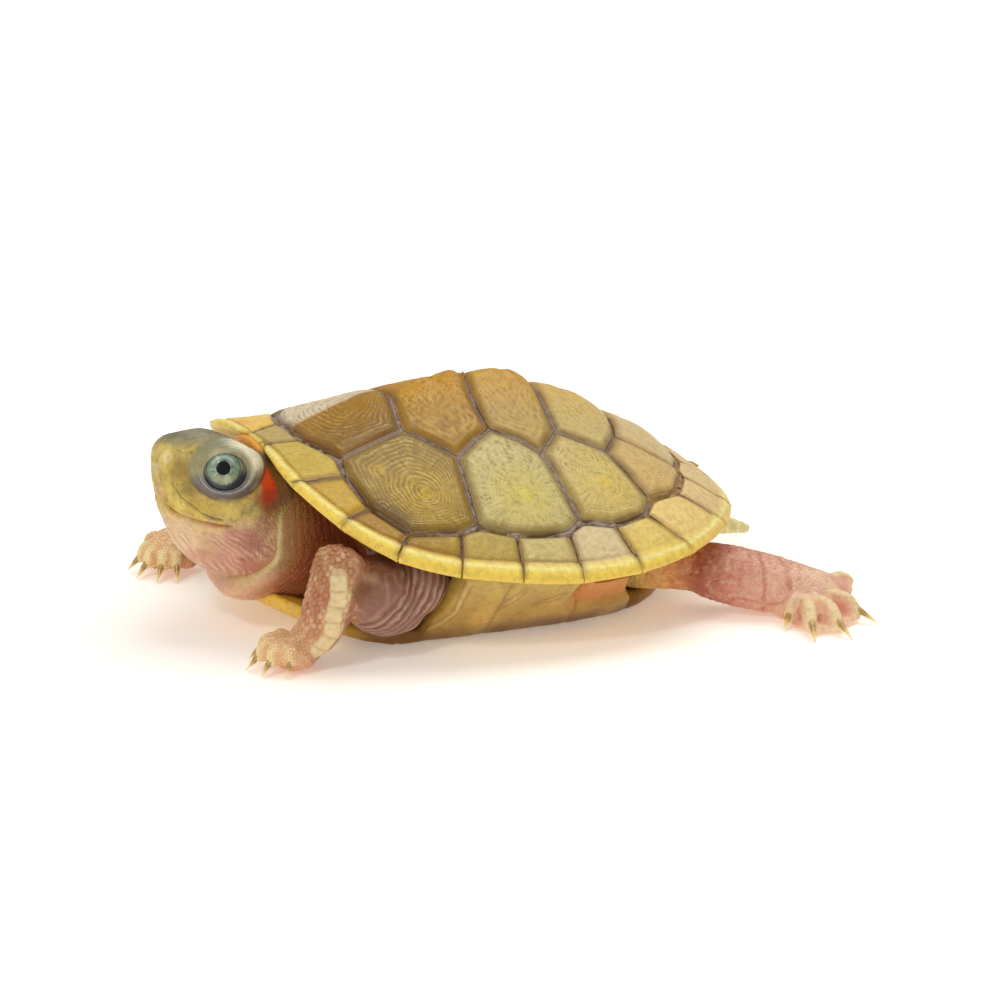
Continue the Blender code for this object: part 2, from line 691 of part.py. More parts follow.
def trunk_rings(grow=0.0):
    count = 28
    rings = []
    for reach in (0.22, 0.46, 0.66, TRUNK_REACH):
        ring = []
        for k in range(count):
            angle = 2 * pi * k / count
            spread = reach + (grow / 15 if reach == TRUNK_REACH else 0.0)
            ring.append(shell_point(spread * sin(angle), -spread * cos(angle), TRUNK_DEPTH - grow))
        rings.append(ring)
    rim = rings[-1]
    low = []
    for k in range(count):
        angle = 2 * pi * k / count
        low.append(Vector((
            (TRUNK_BASE[0] + grow) * sin(angle), -(TRUNK_BASE[1] + grow) * cos(angle), TRUNK_FLOOR - grow,
        )))
    waist = [a.lerp(b, 0.22) - Vector((0, 0, 0.5)) for a, b in zip(rim, low)]
    return [*rings, waist, low]


def solid_from(name, rings, collection):
    bm = bmesh.new()
    skin_rings(bm, rings)
    return object_of(name, bm, collection)


def lid_over_shell():
    """Rings of a tall block whose underside is the carapace's inner face, for cutting."""
    count = 28
    rings = []
    for reach in (0.3, 0.6, 0.85, 1.0):
        rings.append([
            shell_point(reach * sin(2 * pi * k / count), -reach * cos(2 * pi * k / count),
                        1.15 + 0.1 * (1 - reach))
            for k in range(count)
        ])
    rings.append([point + Vector((0, 0, 12)) for point in rings[-1]])
    return rings


# The body


def section_solid(name, sections, waist, fineness, collection):
    steps, count = fineness
    first, last = sections[0][0], sections[-1][0]
    places = [first + (last - first) * (k / steps) ** 1.25 for k in range(steps + 1)]
    rings = [body_ring(y, *along(sections, y), waist, HEAD_SQUARENESS, count) for y in places]
    return solid_from(name, rings, collection)


def build_head(collection, cutters, body_cutters):
    head = section_solid("head", HEAD_SECTIONS, HEAD_WAIST, HEAD_MESH, collection)
    lids, sockets = [], []
    for side in (1, -1):
        lid, socket = bmesh.new(), bmesh.new()
        centre = Vector((side * LID_CENTRE.x, LID_CENTRE.y, LID_CENTRE.z))
        axis = Vector((side * EYE_AXIS.x, EYE_AXIS.y, EYE_AXIS.z))
        turn = axis.to_track_quat("X", "Z").to_matrix().to_4x4()
        ellipsoid(lid, centre, (LID_RADII[2], LID_RADII[0], LID_RADII[1]), turn, *LID_MESH)
        lids.append(object_of(f"lid_{side}", lid, cutters))
        ball = Vector((side * EYE_CENTRE.x, EYE_CENTRE.y, EYE_CENTRE.z))
        reach = EYE_RADIUS + EYE_CLEARANCE
        ellipsoid(socket, ball, (reach, reach, reach), turn, *EYE_MESH)
        sockets.append(object_of(f"socket_{side}", socket, cutters))
    combine(head, lids, "UNION")
    combine(head, sockets, "DIFFERENCE")
    head.data.transform(HEAD_TURN)
    combine(head, body_cutters, "DIFFERENCE")
    trim(head, COLLAR_POINT - COLLAR_NORMAL * JOINT_GAP, COLLAR_NORMAL)
    keep_largest(head)
    complete(head, "head_skin")
    for side, name in ((1, "eye_left"), (-1, "eye_right")):
        eye = bmesh.new()
        axis = Vector((side * EYE_AXIS.x, EYE_AXIS.y, EYE_AXIS.z))
        turn = axis.to_track_quat("X", "Z").to_matrix().to_4x4()
        ball = Vector((side * EYE_CENTRE.x, EYE_CENTRE.y, EYE_CENTRE.z))
        ellipsoid(eye, ball, (EYE_RADIUS,) * 3, turn, *EYE_MESH)
        eye = object_of(name, eye, collection)
        eye.data.transform(HEAD_TURN)
        complete(eye, "eye")


def build_neck(collection, body_cutters):
    neck = section_solid("neck", NECK_SECTIONS, NECK_WAIST, NECK_MESH, collection)
    trim(neck, COLLAR_POINT + COLLAR_NORMAL * JOINT_GAP, -COLLAR_NORMAL)
    combine(neck, body_cutters, "DIFFERENCE")
    keep_largest(neck)
    complete(neck, "body_skin")


def build_tail(collection, body_cutters):
    bm = bmesh.new()
    tube(bm, TAIL_SPINE, TAIL_STEPS, TAIL_SIDES)
    tail = object_of("tail", bm, collection)
    combine(tail, body_cutters, "DIFFERENCE")
    keep_largest(tail)
    complete(tail, "body_skin")


def toe_spine(palm, tip, knuckle, radius):
    """From the palm over the knuckle to the claw's tip, as (x, y, z, r) rows."""
    base, end = Vector(palm), Vector(tip)
    start = base.lerp(end, 0.12)
    joint = base.lerp(end, 0.50)
    nail = base.lerp(end, 1 - CLAW_SHARE)
    lift = end.z * 0.8
    return (
        (start.x, start.y, palm[2], radius * 1.05),
        (joint.x, joint.y, knuckle * 0.62 + lift * 0.5, radius),
        (nail.x, nail.y, knuckle * 0.44 + lift * 0.9, CLAW_RADIUS * 1.75),
        (nail.lerp(end, 0.25).x, nail.lerp(end, 0.25).y, knuckle * 0.34 + lift, CLAW_RADIUS),
        (end.x, end.y, end.z + CLAW_TIP_RADIUS, CLAW_TIP_RADIUS),
    )


def web_between(palm, tips, share, name, collection):
    """A thin plate that fills the toes' spread out to a share of their length."""
    bm = bmesh.new()
    outline = [Vector(palm)]
    for i, tip in enumerate(tips):
        outline.append(Vector(palm).lerp(Vector(tip), share))
        if i + 1 < len(tips):
            between = Vector(tip).lerp(Vector(tips[i + 1]), 0.5)
            outline.append(Vector(palm).lerp(between, share * WEB_SCALLOP))
    rings = []
    for height in (0.02, 0.56):
        rings.append([Vector((p.x, p.y, height + 0.45 * max(p.z - 0.12, 0) * 2)) for p in outline])
    loops = [[bm.verts.new(point) for point in ring] for ring in rings]
    count = len(outline)
    for i in range(count):
        j = (i + 1) % count
        bm.faces.new((loops[0][i], loops[0][j], loops[1][j], loops[1][i]))
    for loop in loops:
        for i in range(1, count - 1):
            bm.faces.new((loop[0], loop[i], loop[i + 1]))
    return object_of(name, bm, collection)


def limb_piece(name, rows, collection, grow=0.0, steps=LIMB_STEPS):
    bm = bmesh.new()
    tube(bm, rows, steps, LIMB_SIDES, grow)
    return object_of(name, bm, collection)


def build_limb(name, limb, collection, cutters, body_cutters):
    """Upper leg, lower leg and foot, each hollowed where the length before it goes in."""
    upper = limb_piece(f"leg_{name}_upper", limb["upper"], collection)
    knee = limb_piece("knee_cutter", limb["upper"], cutters, JOINT_GAP)
    lower = limb_piece(f"leg_{name}_lower", limb["lower"], collection)
    shin = limb_piece("shin_cutter", limb["lower"], cutters, JOINT_GAP)
    foot = limb_piece(f"foot_{name}", limb["ankle"], collection, steps=2)
    pieces = []
    bm = bmesh.new()
    ellipsoid(bm, limb["palm"], limb["palm_radii"], None, 6, 10)
    pieces.append(object_of("palm", bm, cutters))
    for number, tip in enumerate(limb["tips"], 1):
        bm = bmesh.new()
        spine = toe_spine(limb["palm"], tip, limb["knuckle"], limb["toe_radius"])
        tube(bm, spine, TOE_STEPS, TOE_SIDES)
        pieces.append(object_of(f"toe_{number}", bm, cutters))
    pieces.append(web_between(limb["palm"], limb["tips"], limb["web"], "web", cutters))
    combine(foot, pieces, "UNION")
    combine(upper, body_cutters, "DIFFERENCE")
    combine(lower, [knee, *body_cutters], "DIFFERENCE")
    combine(foot, [shin], "DIFFERENCE")
    trim(foot, Vector((0, 0, 0)), Vector((0, 0, -1)))
    for piece in (upper, lower, foot):
        keep_largest(piece)
        complete(piece, "leg_skin")
    for piece in [*pieces, knee, shin]:
        bpy.data.objects.remove(piece, do_unlink=True)


def main():
    clear_scene()
    animal = collection_named("red_eared_slider")
    cutters = collection_named("cutters")
    cutters.hide_render = True
    build_carapace(animal)
    complete(solid_from("plastron", plastron_rings(), animal), "plastron_horn")
    complete(solid_from("trunk", trunk_rings(), animal), "body_skin")
    body_cutters = [
        solid_from("trunk_cutter", trunk_rings(BODY_CLEARANCE), cutters),
        solid_from("plastron_cutter", plastron_rings(BODY_CLEARANCE), cutters),
        solid_from("carapace_cutter", lid_over_shell(), cutters),
    ]
    build_head(animal, cutters, body_cutters)
    build_neck(animal, body_cutters)
    build_tail(animal, body_cutters)
    for name, limb in LIMBS.items():
        build_limb(name, limb, animal, cutters, body_cutters)
    for cutter in cutters.objects:
        cutter.hide_render = True
        cutter.display_type = "WIRE"
        cutter.data.transform(Matrix.Scale(MM, 4))


main()
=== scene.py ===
from math import atan2, cos, pi, radians, sin

import bmesh
import bpy
import numpy as np
from mathutils import Matrix, Vector
from mathutils.bvhtree import BVHTree
from mathutils.geometry import convex_hull_2d
from mathutils.kdtree import KDTree


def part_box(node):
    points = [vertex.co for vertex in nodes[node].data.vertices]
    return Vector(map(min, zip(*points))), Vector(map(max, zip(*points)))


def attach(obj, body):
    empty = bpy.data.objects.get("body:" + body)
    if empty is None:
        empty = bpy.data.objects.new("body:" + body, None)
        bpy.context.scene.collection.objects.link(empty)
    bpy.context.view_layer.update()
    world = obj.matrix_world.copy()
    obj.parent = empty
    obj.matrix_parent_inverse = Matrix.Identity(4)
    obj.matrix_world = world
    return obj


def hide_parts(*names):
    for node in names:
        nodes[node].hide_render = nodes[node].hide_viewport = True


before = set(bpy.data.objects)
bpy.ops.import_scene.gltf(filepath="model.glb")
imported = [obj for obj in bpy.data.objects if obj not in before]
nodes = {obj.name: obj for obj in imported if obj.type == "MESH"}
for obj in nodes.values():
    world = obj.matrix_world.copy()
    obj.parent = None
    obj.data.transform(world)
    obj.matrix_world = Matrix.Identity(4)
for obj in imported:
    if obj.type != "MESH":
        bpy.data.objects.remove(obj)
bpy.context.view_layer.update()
print("frame loaded:", len(nodes), "nodes")

# Pieces are modelled in millimetres, and finishPiece takes them to metres.
mm = 0.001
perMm = 1000.0
thinning = {"levels": 8, "pull": 10.0}  # steps of the mask, and how strongly it draws the thinning in


def deselectAll():
    bpy.ops.object.select_all(action="DESELECT")


def pickOnly(*objs):
    deselectAll()
    for obj in objs:
        obj.select_set(True)
    bpy.context.view_layer.objects.active = objs[0]


def joinPieces(objs, name):
    pickOnly(*objs)
    if len(objs) > 1:
        bpy.ops.object.join()
    joined = bpy.context.view_layer.objects.active
    joined.name = name
    joined.data.name = name
    return joined


def applyModifiers(obj):
    pickOnly(obj)
    for modifier in list(obj.modifiers):
        bpy.ops.object.modifier_apply(modifier=modifier.name)


def triangleCount(obj):
    return sum(len(face.vertices) - 2 for face in obj.data.polygons)


def thinOut(obj, kept, hidden=None):
    # fewer triangles, everywhere or only where hidden is above 0
    thin = obj.modifiers.new("thin", "DECIMATE")
    thin.ratio = kept / triangleCount(obj)
    if hidden is not None:
        group = obj.vertex_groups.new(name="hidden")
        steps = np.round(hidden * thinning["levels"])
        for level in np.unique(steps):
            group.add(np.flatnonzero(steps == level).tolist(), level / thinning["levels"], "REPLACE")
        thin.vertex_group = group.name
        thin.vertex_group_factor = thinning["pull"]
    applyModifiers(obj)


def newPiece(name, mesh):
    obj = bpy.data.objects.new(name, mesh)
    bpy.context.scene.collection.objects.link(obj)
    return obj


def nodeCopy(*names):
    copies = []
    for name in names:
        mesh = nodes[name].data.copy()
        mesh.transform(Matrix.Scale(perMm, 4))
        mesh.materials.clear()
        copies.append(newPiece("copy_" + name, mesh))
    obj = joinPieces(copies, "copy_" + names[0])
    bpy.ops.object.mode_set(mode="EDIT")
    bpy.ops.mesh.select_all(action="SELECT")
    bpy.ops.mesh.remove_doubles(threshold=0.002)
    bpy.ops.mesh.tris_convert_to_quads(face_threshold=radians(60), shape_threshold=radians(60))
    bpy.ops.object.mode_set(mode="OBJECT")
    return obj


def placesOf(obj):
    flat = np.empty(len(obj.data.vertices) * 3, np.float32)
    obj.data.vertices.foreach_get("co", flat)
    return flat.reshape(-1, 3).astype(float)


def movePlaces(obj, places):
    obj.data.vertices.foreach_set("co", np.ascontiguousarray(places, np.float32).ravel())
    obj.data.update()


def normalsOf(obj):
    flat = np.empty(len(obj.data.vertices) * 3, np.float32)
    obj.data.vertex_normals.foreach_get("vector", flat)
    return flat.reshape(-1, 3).astype(float)


def setMask(obj, name, values):
    mask = obj.data.attributes.get(name) or obj.data.attributes.new(name, "FLOAT", "POINT")
    mask.data.foreach_set("value", np.ascontiguousarray(values, np.float32))


def maskOf(obj, name):
    values = np.empty(len(obj.data.vertices), np.float32)
    obj.data.attributes[name].data.foreach_get("value", values)
    return values.astype(float)


def setTint(obj, name, colours):
    tint = obj.data.attributes.get(name) or obj.data.attributes.new(name, "FLOAT_COLOR", "POINT")
    rows = np.ones((len(colours), 4), np.float32)
    rows[:, :3] = colours
    tint.data.foreach_set("color", rows.ravel())


def smoothstep(low, high, values):
    share = np.clip((values - low) / (high - low), 0.0, 1.0)
    return share * share * (3 - 2 * share)


def wave(turns):
    return np.sin(2 * pi * turns)


def lengthsOf(ways):
    return np.linalg.norm(ways, axis=1)


def bell(values, middle, width):
    # 1 at the middle, fading on both sides
    return np.exp(-((values - middle) / width) ** 2)


def softNoise(places, size, seed):
    # smooth lattice noise between -1 and 1, about one lump to each size
    spread = places / size + seed * 7.31
    cell = np.floor(spread).astype(np.int64)
    part = spread - cell
    part = part * part * (3 - 2 * part)
    total = np.zeros(len(places))
    for corner in np.ndindex(2, 2, 2):
        key = cell + np.array(corner)
        mixed = key[:, 0] * 73856093 ^ key[:, 1] * 19349663 ^ key[:, 2] * 83492791 ^ seed * 40503
        mixed = (mixed ^ (mixed >> 13)) * 1274126177
        value = ((mixed ^ (mixed >> 16)) & 65535) / 32767.5 - 1.0
        weight = np.prod(np.where(np.array(corner), part, 1 - part), axis=1)
        total += value * weight
    return total


def nearestGap(tree, places):
    return np.array([tree.find_nearest(Vector(place))[3] for place in places])


def nearestIndex(points, places):
    # for each place, which point is nearest
    tree = KDTree(len(points))
    for i, point in enumerate(points):
        tree.insert(point, i)
    tree.balance()
    return np.array([tree.find(place)[1] for place in places])


def linear(red, green, blue):
    # a screen colour, 0 to 255, as the shader's linear values
    return tuple(((c / 255 + 0.055) / 1.055) ** 2.4 if c > 10 else c / 3294.6 for c in (red, green, blue))


def plainTint(places, *colour):
    return np.tile(np.array(linear(*colour)), (len(places), 1))


def soften(tint, colour, share):
    # mix a screen colour into the tints by a share for each point
    tint += np.clip(share, 0, 1)[:, None] * (np.array(linear(*colour)) - tint)


def remeshed(obj, voxel, smoothing):
    # one closed surface round everything in the piece
    whole = obj.modifiers.new("whole", "REMESH")
    whole.mode = "VOXEL"
    whole.voxel_size = voxel
    even = obj.modifiers.new("even", "SMOOTH")
    even.iterations = smoothing
    applyModifiers(obj)
    return obj


def finishPiece(obj, material, replaced):
    obj.data.transform(Matrix.Scale(mm, 4))
    obj.data.materials.clear()
    obj.data.materials.append(material)
    obj.data.shade_smooth()
    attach(obj, "root")
    if replaced:
        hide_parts(*replaced)


def wire(tree, node, inputs):
    # each input takes a value, or a link from another node's output
    for name, value in inputs.items():
        if isinstance(value, bpy.types.NodeSocket):
            tree.links.new(value, node.inputs[name])
        else:
            node.inputs[name].default_value = value


def addNode(tree, kind, place, inputs=None, **settings):
    node = tree.nodes.new(kind)
    node.location = place
    for name, value in settings.items():
        setattr(node, name, value)
    wire(tree, node, inputs or {})
    return node


def attributeOf(tree, place, name, output="Color"):
    return addNode(tree, "ShaderNodeAttribute", place, attribute_name=name).outputs[output]


def noisesOf(tree, place, *sizes):
    # noises on the piece's own place: each has a scale and a detail
    x, y = place
    here = addNode(tree, "ShaderNodeTexCoord", (x - 200, y)).outputs["Object"]
    return [addNode(tree, "ShaderNodeTexNoise", (x, y - 220 * row),
                    {"Vector": here, "Scale": scale, "Detail": detail}).outputs["Fac"]
            for row, (scale, detail) in enumerate(sizes)]


def rangeOf(tree, place, source, low, high, start=0.0, stop=1.0):
    inputs = {"Value": source, "From Min": low, "From Max": high, "To Min": start, "To Max": stop}
    return addNode(tree, "ShaderNodeMapRange", place, inputs).outputs["Result"]


def mixOf(tree, place, share, low, high, blend="MIX"):
    inputs = {0: share, 6: low, 7: high}
    return addNode(tree, "ShaderNodeMix", place, inputs, data_type="RGBA", blend_type=blend).outputs[2]


def mathOf(tree, place, operation, *values):
    return addNode(tree, "ShaderNodeMath", place, dict(enumerate(values)), operation=operation).outputs[0]


def bumpOf(tree, place, height, strength, depth):
    inputs = {"Height": height, "Strength": strength, "Distance": depth * mm}
    return addNode(tree, "ShaderNodeBump", place, inputs).outputs["Normal"]


def rampOf(tree, place, source, stops):
    ramp = addNode(tree, "ShaderNodeValToRGB", place, {"Fac": source})
    elements = ramp.color_ramp.elements
    while len(elements) < len(stops):
        elements.new(0.5)
    for element, (position, colour) in zip(elements, stops):
        element.position = position
        element.color = (*colour, 1.0)
    return ramp.outputs["Color"]


def newMaterial(name, **sockets):
    material = bpy.data.materials.new(name)
    material.use_nodes = True
    shader = material.node_tree.nodes["Principled BSDF"]
    wire(material.node_tree, shader, sockets)
    return material, material.node_tree, shader


def makeGrowthGroup():
    # colours of a scute: its own tint, lines of growth, the brown band by its seam, the seam's dark edge
    group = bpy.data.node_groups.new("scuteGrowth", "ShaderNodeTree")
    for label in ("Band", "Edge", "Lip", "Pale"):
        group.interface.new_socket(label, in_out="INPUT", socket_type="NodeSocketColor")
    for label in ("Line Depth", "Band Width"):
        group.interface.new_socket(label, in_out="INPUT", socket_type="NodeSocketFloat")
    group.interface.new_socket("Color", in_out="OUTPUT", socket_type="NodeSocketColor")
    group.interface.new_socket("Roughness", in_out="OUTPUT", socket_type="NodeSocketFloat")
    group.interface.new_socket("Height", in_out="OUTPUT", socket_type="NodeSocketFloat")
    entry = addNode(group, "NodeGroupInput", (-1200, 0)).outputs
    tint, seamGap, growthLine = (
        attributeOf(group, (-1200, -250 - 180 * row), name, output)
        for row, (name, output) in enumerate(
            (("scuteTint", "Color"), ("seamGap", "Fac"), ("growthLine", "Fac"))))
    cloud, grain, mottle = noisesOf(
        group, (-1000, 620), (perMm * 0.8, 4.0), (perMm * 6, 3.0), (perMm * 2.6, 2.0))
    cloudy = rangeOf(group, (-400, -260), cloud, 0.3, 0.65)
    # each layer: its colour, where it lies, and what breaks it up
    layers = (
        ("Band", rangeOf(group, (-640, 300), mottle, 0.42, 0.68, 0.0, 0.22), None),
        ("Band", rangeOf(group, (-640, 60), growthLine, 0.1, -1.0), entry["Line Depth"]),
        ("Pale", rangeOf(group, (-640, -120), growthLine, 0.2, 1.0, 0.0, 0.55), cloudy),
        ("Band", rangeOf(group, (-200, -300), seamGap, entry["Band Width"], 0.16, 0.0, 0.9),
         rangeOf(group, (-200, -480), cloud, 0.32, 0.58, 0.55, 1.0)),
        ("Edge", rangeOf(group, (100, -480), seamGap, 0.25, 0.17),
         rangeOf(group, (100, -660), cloud, 0.34, 0.6, 0.2, 0.85)),
        ("Lip", rangeOf(group, (460, -480), seamGap, 0.16, 0.145), None),
        ("Pale", rangeOf(group, (400, 320), grain, 0.60, 0.80, 0.0, 0.30), None),
        ("Band", rangeOf(group, (600, 420), grain, 0.44, 0.22, 0.0, 0.30), None),
    )
    for column, (colour, share, torn) in enumerate(layers):
        if torn is not None:
            share = mathOf(group, (200 * column - 400, -100), "MULTIPLY", share, torn)
        tint = mixOf(group, (200 * column - 400, 100), share, tint, entry[colour])
    rough = rangeOf(group, (1040, -320), grain, 0.2, 0.8, 0.34, 0.52)
    addNode(group, "NodeGroupOutput", (1400, 0), {"Color": tint, "Roughness": rough, "Height": grain})
    return group


hornLooks = {
    "vertebralHorn": {
        "Band": (122, 86, 44), "Edge": (88, 60, 38), "Lip": (158, 134, 116), "Pale": (214, 178, 96),
        "Line Depth": 0.62, "Band Width": 0.8,
    },
    "costalHorn": {
        "Band": (126, 96, 50), "Edge": (92, 66, 44), "Lip": (166, 144, 124), "Pale": (226, 204, 128),
        "Line Depth": 0.75, "Band Width": 0.8,
    },
    "marginalHorn": {
        "Band": (142, 108, 62), "Edge": (112, 80, 50), "Lip": (150, 112, 76), "Pale": (238, 214, 132),
        "Line Depth": 0.42, "Band Width": 0.55,
    },
}


def hornMaterial(name, group):
    material, tree, shader = newMaterial(
        name, **{"Coat Weight": 0.14, "Coat Roughness": 0.24, "Specular IOR Level": 0.22,
                 "Subsurface Weight": 0.08,
                 "Subsurface Radius": (1.0, 0.55, 0.2), "Subsurface Scale": 0.0004, "IOR": 1.5})
    look = {label: value if isinstance(value, float) else (*linear(*value), 1.0)
            for label, value in hornLooks[name].items()}
    growth = addNode(tree, "ShaderNodeGroup", (-500, 100), node_tree=group)
    wire(tree, growth, look)
    bump = bumpOf(tree, (-240, -200), growth.outputs["Height"], 0.5, 0.06)
    wire(tree, shader, {"Base Color": growth.outputs["Color"], "Roughness": growth.outputs["Roughness"],
                        "Normal": bump})
    return material


growthGroup = makeGrowthGroup()
hornMaterials = {name: hornMaterial(name, growthGroup) for name in hornLooks}
print("horn materials made")


carapace = {
    "dome": 4, "rim": 4,  # subdivisions of a scute of the dome and of the rim
    "wall": 0.5,  # depth of a scute's edge
    "rimFacing": 0.78, "domeFacing": 0.45,  # which faces of a scute are out of sight
    "corner": radians(34),  # a sharper turn of a scute's edge stays sharp
    "lines": 15, "lineDepth": 0.017, "grainDepth": 0.026,
    "roll": 0.13, "rollWidth": 0.5,  # how far a scute's edge sinks to its seam
    "lip": 0.03, "lipAt": 0.13, "furrow": 0.04, "furrowAt": 0.25,
    "ridge": 0.03, "ridgeAt": 0.62,
    "lumpSize": 2.2, "lumpDepth": 0.07,
    # where the first horn of each costal lies, on the left, and of the vertebrals, as a share of length
    "costalPatch": ((9.23, -6.42, 9.72), (9.79, -0.2, 9.12), (9.21, 5.31, 9.07), (6.78, 9.17, 9.3)),
    "vertebralPatch": 0.62,
    "secondPatch": (7.26, -8.75, 10.91),
    # how strong the rings and the radial grains of each scute are
    "marks": {
        "vertebral_1": (1.0, 0.3), "vertebral_2": (0.6, 0.6), "vertebral_3": (0.5, 0.4),
        "vertebral_4": (0.2, 0.1), "vertebral_5": (0.2, 0.1), "costal_1": (0.9, 0.35),
        "costal_2": (0.4, 0.5), "costal_3": (0.5, 0.35), "costal_4": (0.25, 0.2),
    },
    "rimMarks": (0.7, 0.3),
    # field, colour near the keel or the first horn, both as screen colours
    "tints": {
        "vertebral_1": ((140, 102, 26), (172, 124, 12)), "vertebral_2": ((172, 130, 34), (204, 144, 2)),
        "vertebral_3": ((186, 156, 80), (210, 158, 48)), "vertebral_4": ((210, 186, 116), (226, 186, 96)),
        "vertebral_5": ((222, 194, 132), (228, 198, 136)), "costal_1": ((156, 124, 38), (198, 162, 28)),
        "costal_2": ((200, 183, 118), (214, 196, 74)), "costal_3": ((206, 182, 110), (222, 194, 78)),
        "costal_4": ((216, 182, 112), (218, 186, 116)), "nuchal": ((194, 168, 96), (206, 176, 96)),
        # the far rim's first scute: partly its own yellow and partly painted light shining through it
        "farRimTintAndLight": ((250, 206, 96), (250, 180, 62)),
        "marginal_1": ((206, 176, 66), (212, 184, 84)), "marginal_2": ((204, 162, 34), (210, 176, 66)),
        "marginal_3": ((170, 124, 22), (196, 154, 44)), "marginal_4": ((168, 128, 28), (196, 158, 46)),
        "marginal_5": ((188, 162, 76), (204, 176, 90)), "marginal_6": ((204, 184, 116), (208, 182, 130)),
        "marginal_7": ((222, 200, 150), (216, 188, 150)), "marginal_8": ((232, 202, 104), (224, 194, 118)),
        "marginal_9": ((240, 208, 126), (232, 200, 130)), "marginal_10": ((236, 206, 138), (232, 200, 142)),
        "marginal_11": ((234, 204, 144), (230, 196, 148)), "marginal_12": ((234, 204, 144), (230, 196, 148)),
    },
    # the rim's yellow, and a pale painted sheen for the far half of the first vertebral
    "rimTint": (250, 222, 96), "paintedSheenTint": (240, 224, 190),
    "rimLip": 0.09, "rimGroove": 0.07, "rimWidth": 3.0,
}


def openCage(name):
    # the scute's visible faces, with its hidden faces gone and its corners kept sharp
    obj = nodeCopy(name)
    low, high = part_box(name)
    middle = (low + high) * perMm / 2
    onRim = name.startswith(("marginal", "nuchal"))
    if onRim:
        hidden = Vector((-middle.y, middle.x, 0)).normalized()
    else:
        hidden = (middle - Vector((0, 0, -6))).normalized()
    bm = bmesh.new()
    bm.from_mesh(obj.data)
    bm.normal_update()
    facing = [face.normal.dot(hidden) for face in bm.faces]
    doomed = [face for face, dot in zip(bm.faces, facing)
              if (abs(dot) > carapace["rimFacing"] if onRim else dot < carapace["domeFacing"])]
    bmesh.ops.delete(bm, geom=doomed, context="FACES")
    corner = bm.verts.layers.float.new("crease_vert")
    for vert in bm.verts:
        border = [edge for edge in vert.link_edges if edge.is_boundary]
        if len(border) == 2:
            ways = [(edge.other_vert(vert).co - vert.co).normalized() for edge in border]
            vert[corner] = 1.0 if ways[0].angle(-ways[1]) > carapace["corner"] else 0.0
    bm.to_mesh(obj.data)
    bm.free()
    finer = obj.modifiers.new("finer", "SUBSURF")
    finer.levels = finer.render_levels = carapace["rim"] if onRim else carapace["dome"]
    finer.boundary_smooth = "PRESERVE_CORNERS"
    applyModifiers(obj)
    return obj, hidden, onRim


def closeScute(obj, hidden, onRim):
    # walls down from the edge of a dome scute; then each open loop is filled
    pickOnly(obj)
    bpy.ops.object.mode_set(mode="EDIT")
    bpy.ops.mesh.select_mode(type="EDGE")
    bpy.ops.mesh.select_all(action="DESELECT")
    bpy.ops.mesh.select_non_manifold()
    if not onRim:
        bpy.ops.mesh.extrude_edges_move()
        bpy.ops.transform.translate(value=-hidden * carapace["wall"])
    bpy.ops.mesh.edge_face_add()
    bpy.ops.mesh.select_all(action="SELECT")
    bpy.ops.mesh.normals_make_consistent(inside=False)
    bpy.ops.object.mode_set(mode="OBJECT")


def growthPatch(name):
    # the middle of a scute's growth lines
    low, high = (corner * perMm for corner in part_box(name))
    kind, *rest = name.split("_")
    number = int(rest[-1]) if rest else 0
    if kind == "costal":
        x, y, z = carapace["costalPatch"][number - 1]
        return Vector((x if rest[0] == "left" else -x, y, z))
    if kind == "vertebral":
        return Vector((0, low.y + (high.y - low.y) * carapace["vertebralPatch"], high.z))
    middle = (low + high) / 2
    return Vector((middle.x * 1.02, middle.y * 1.02, middle.z + 0.5))


def scuteKey(name):
    # a scute's entry in the tables, the same on both sides
    kind, *rest = name.split("_")
    return "_".join([kind] + rest[-1:])


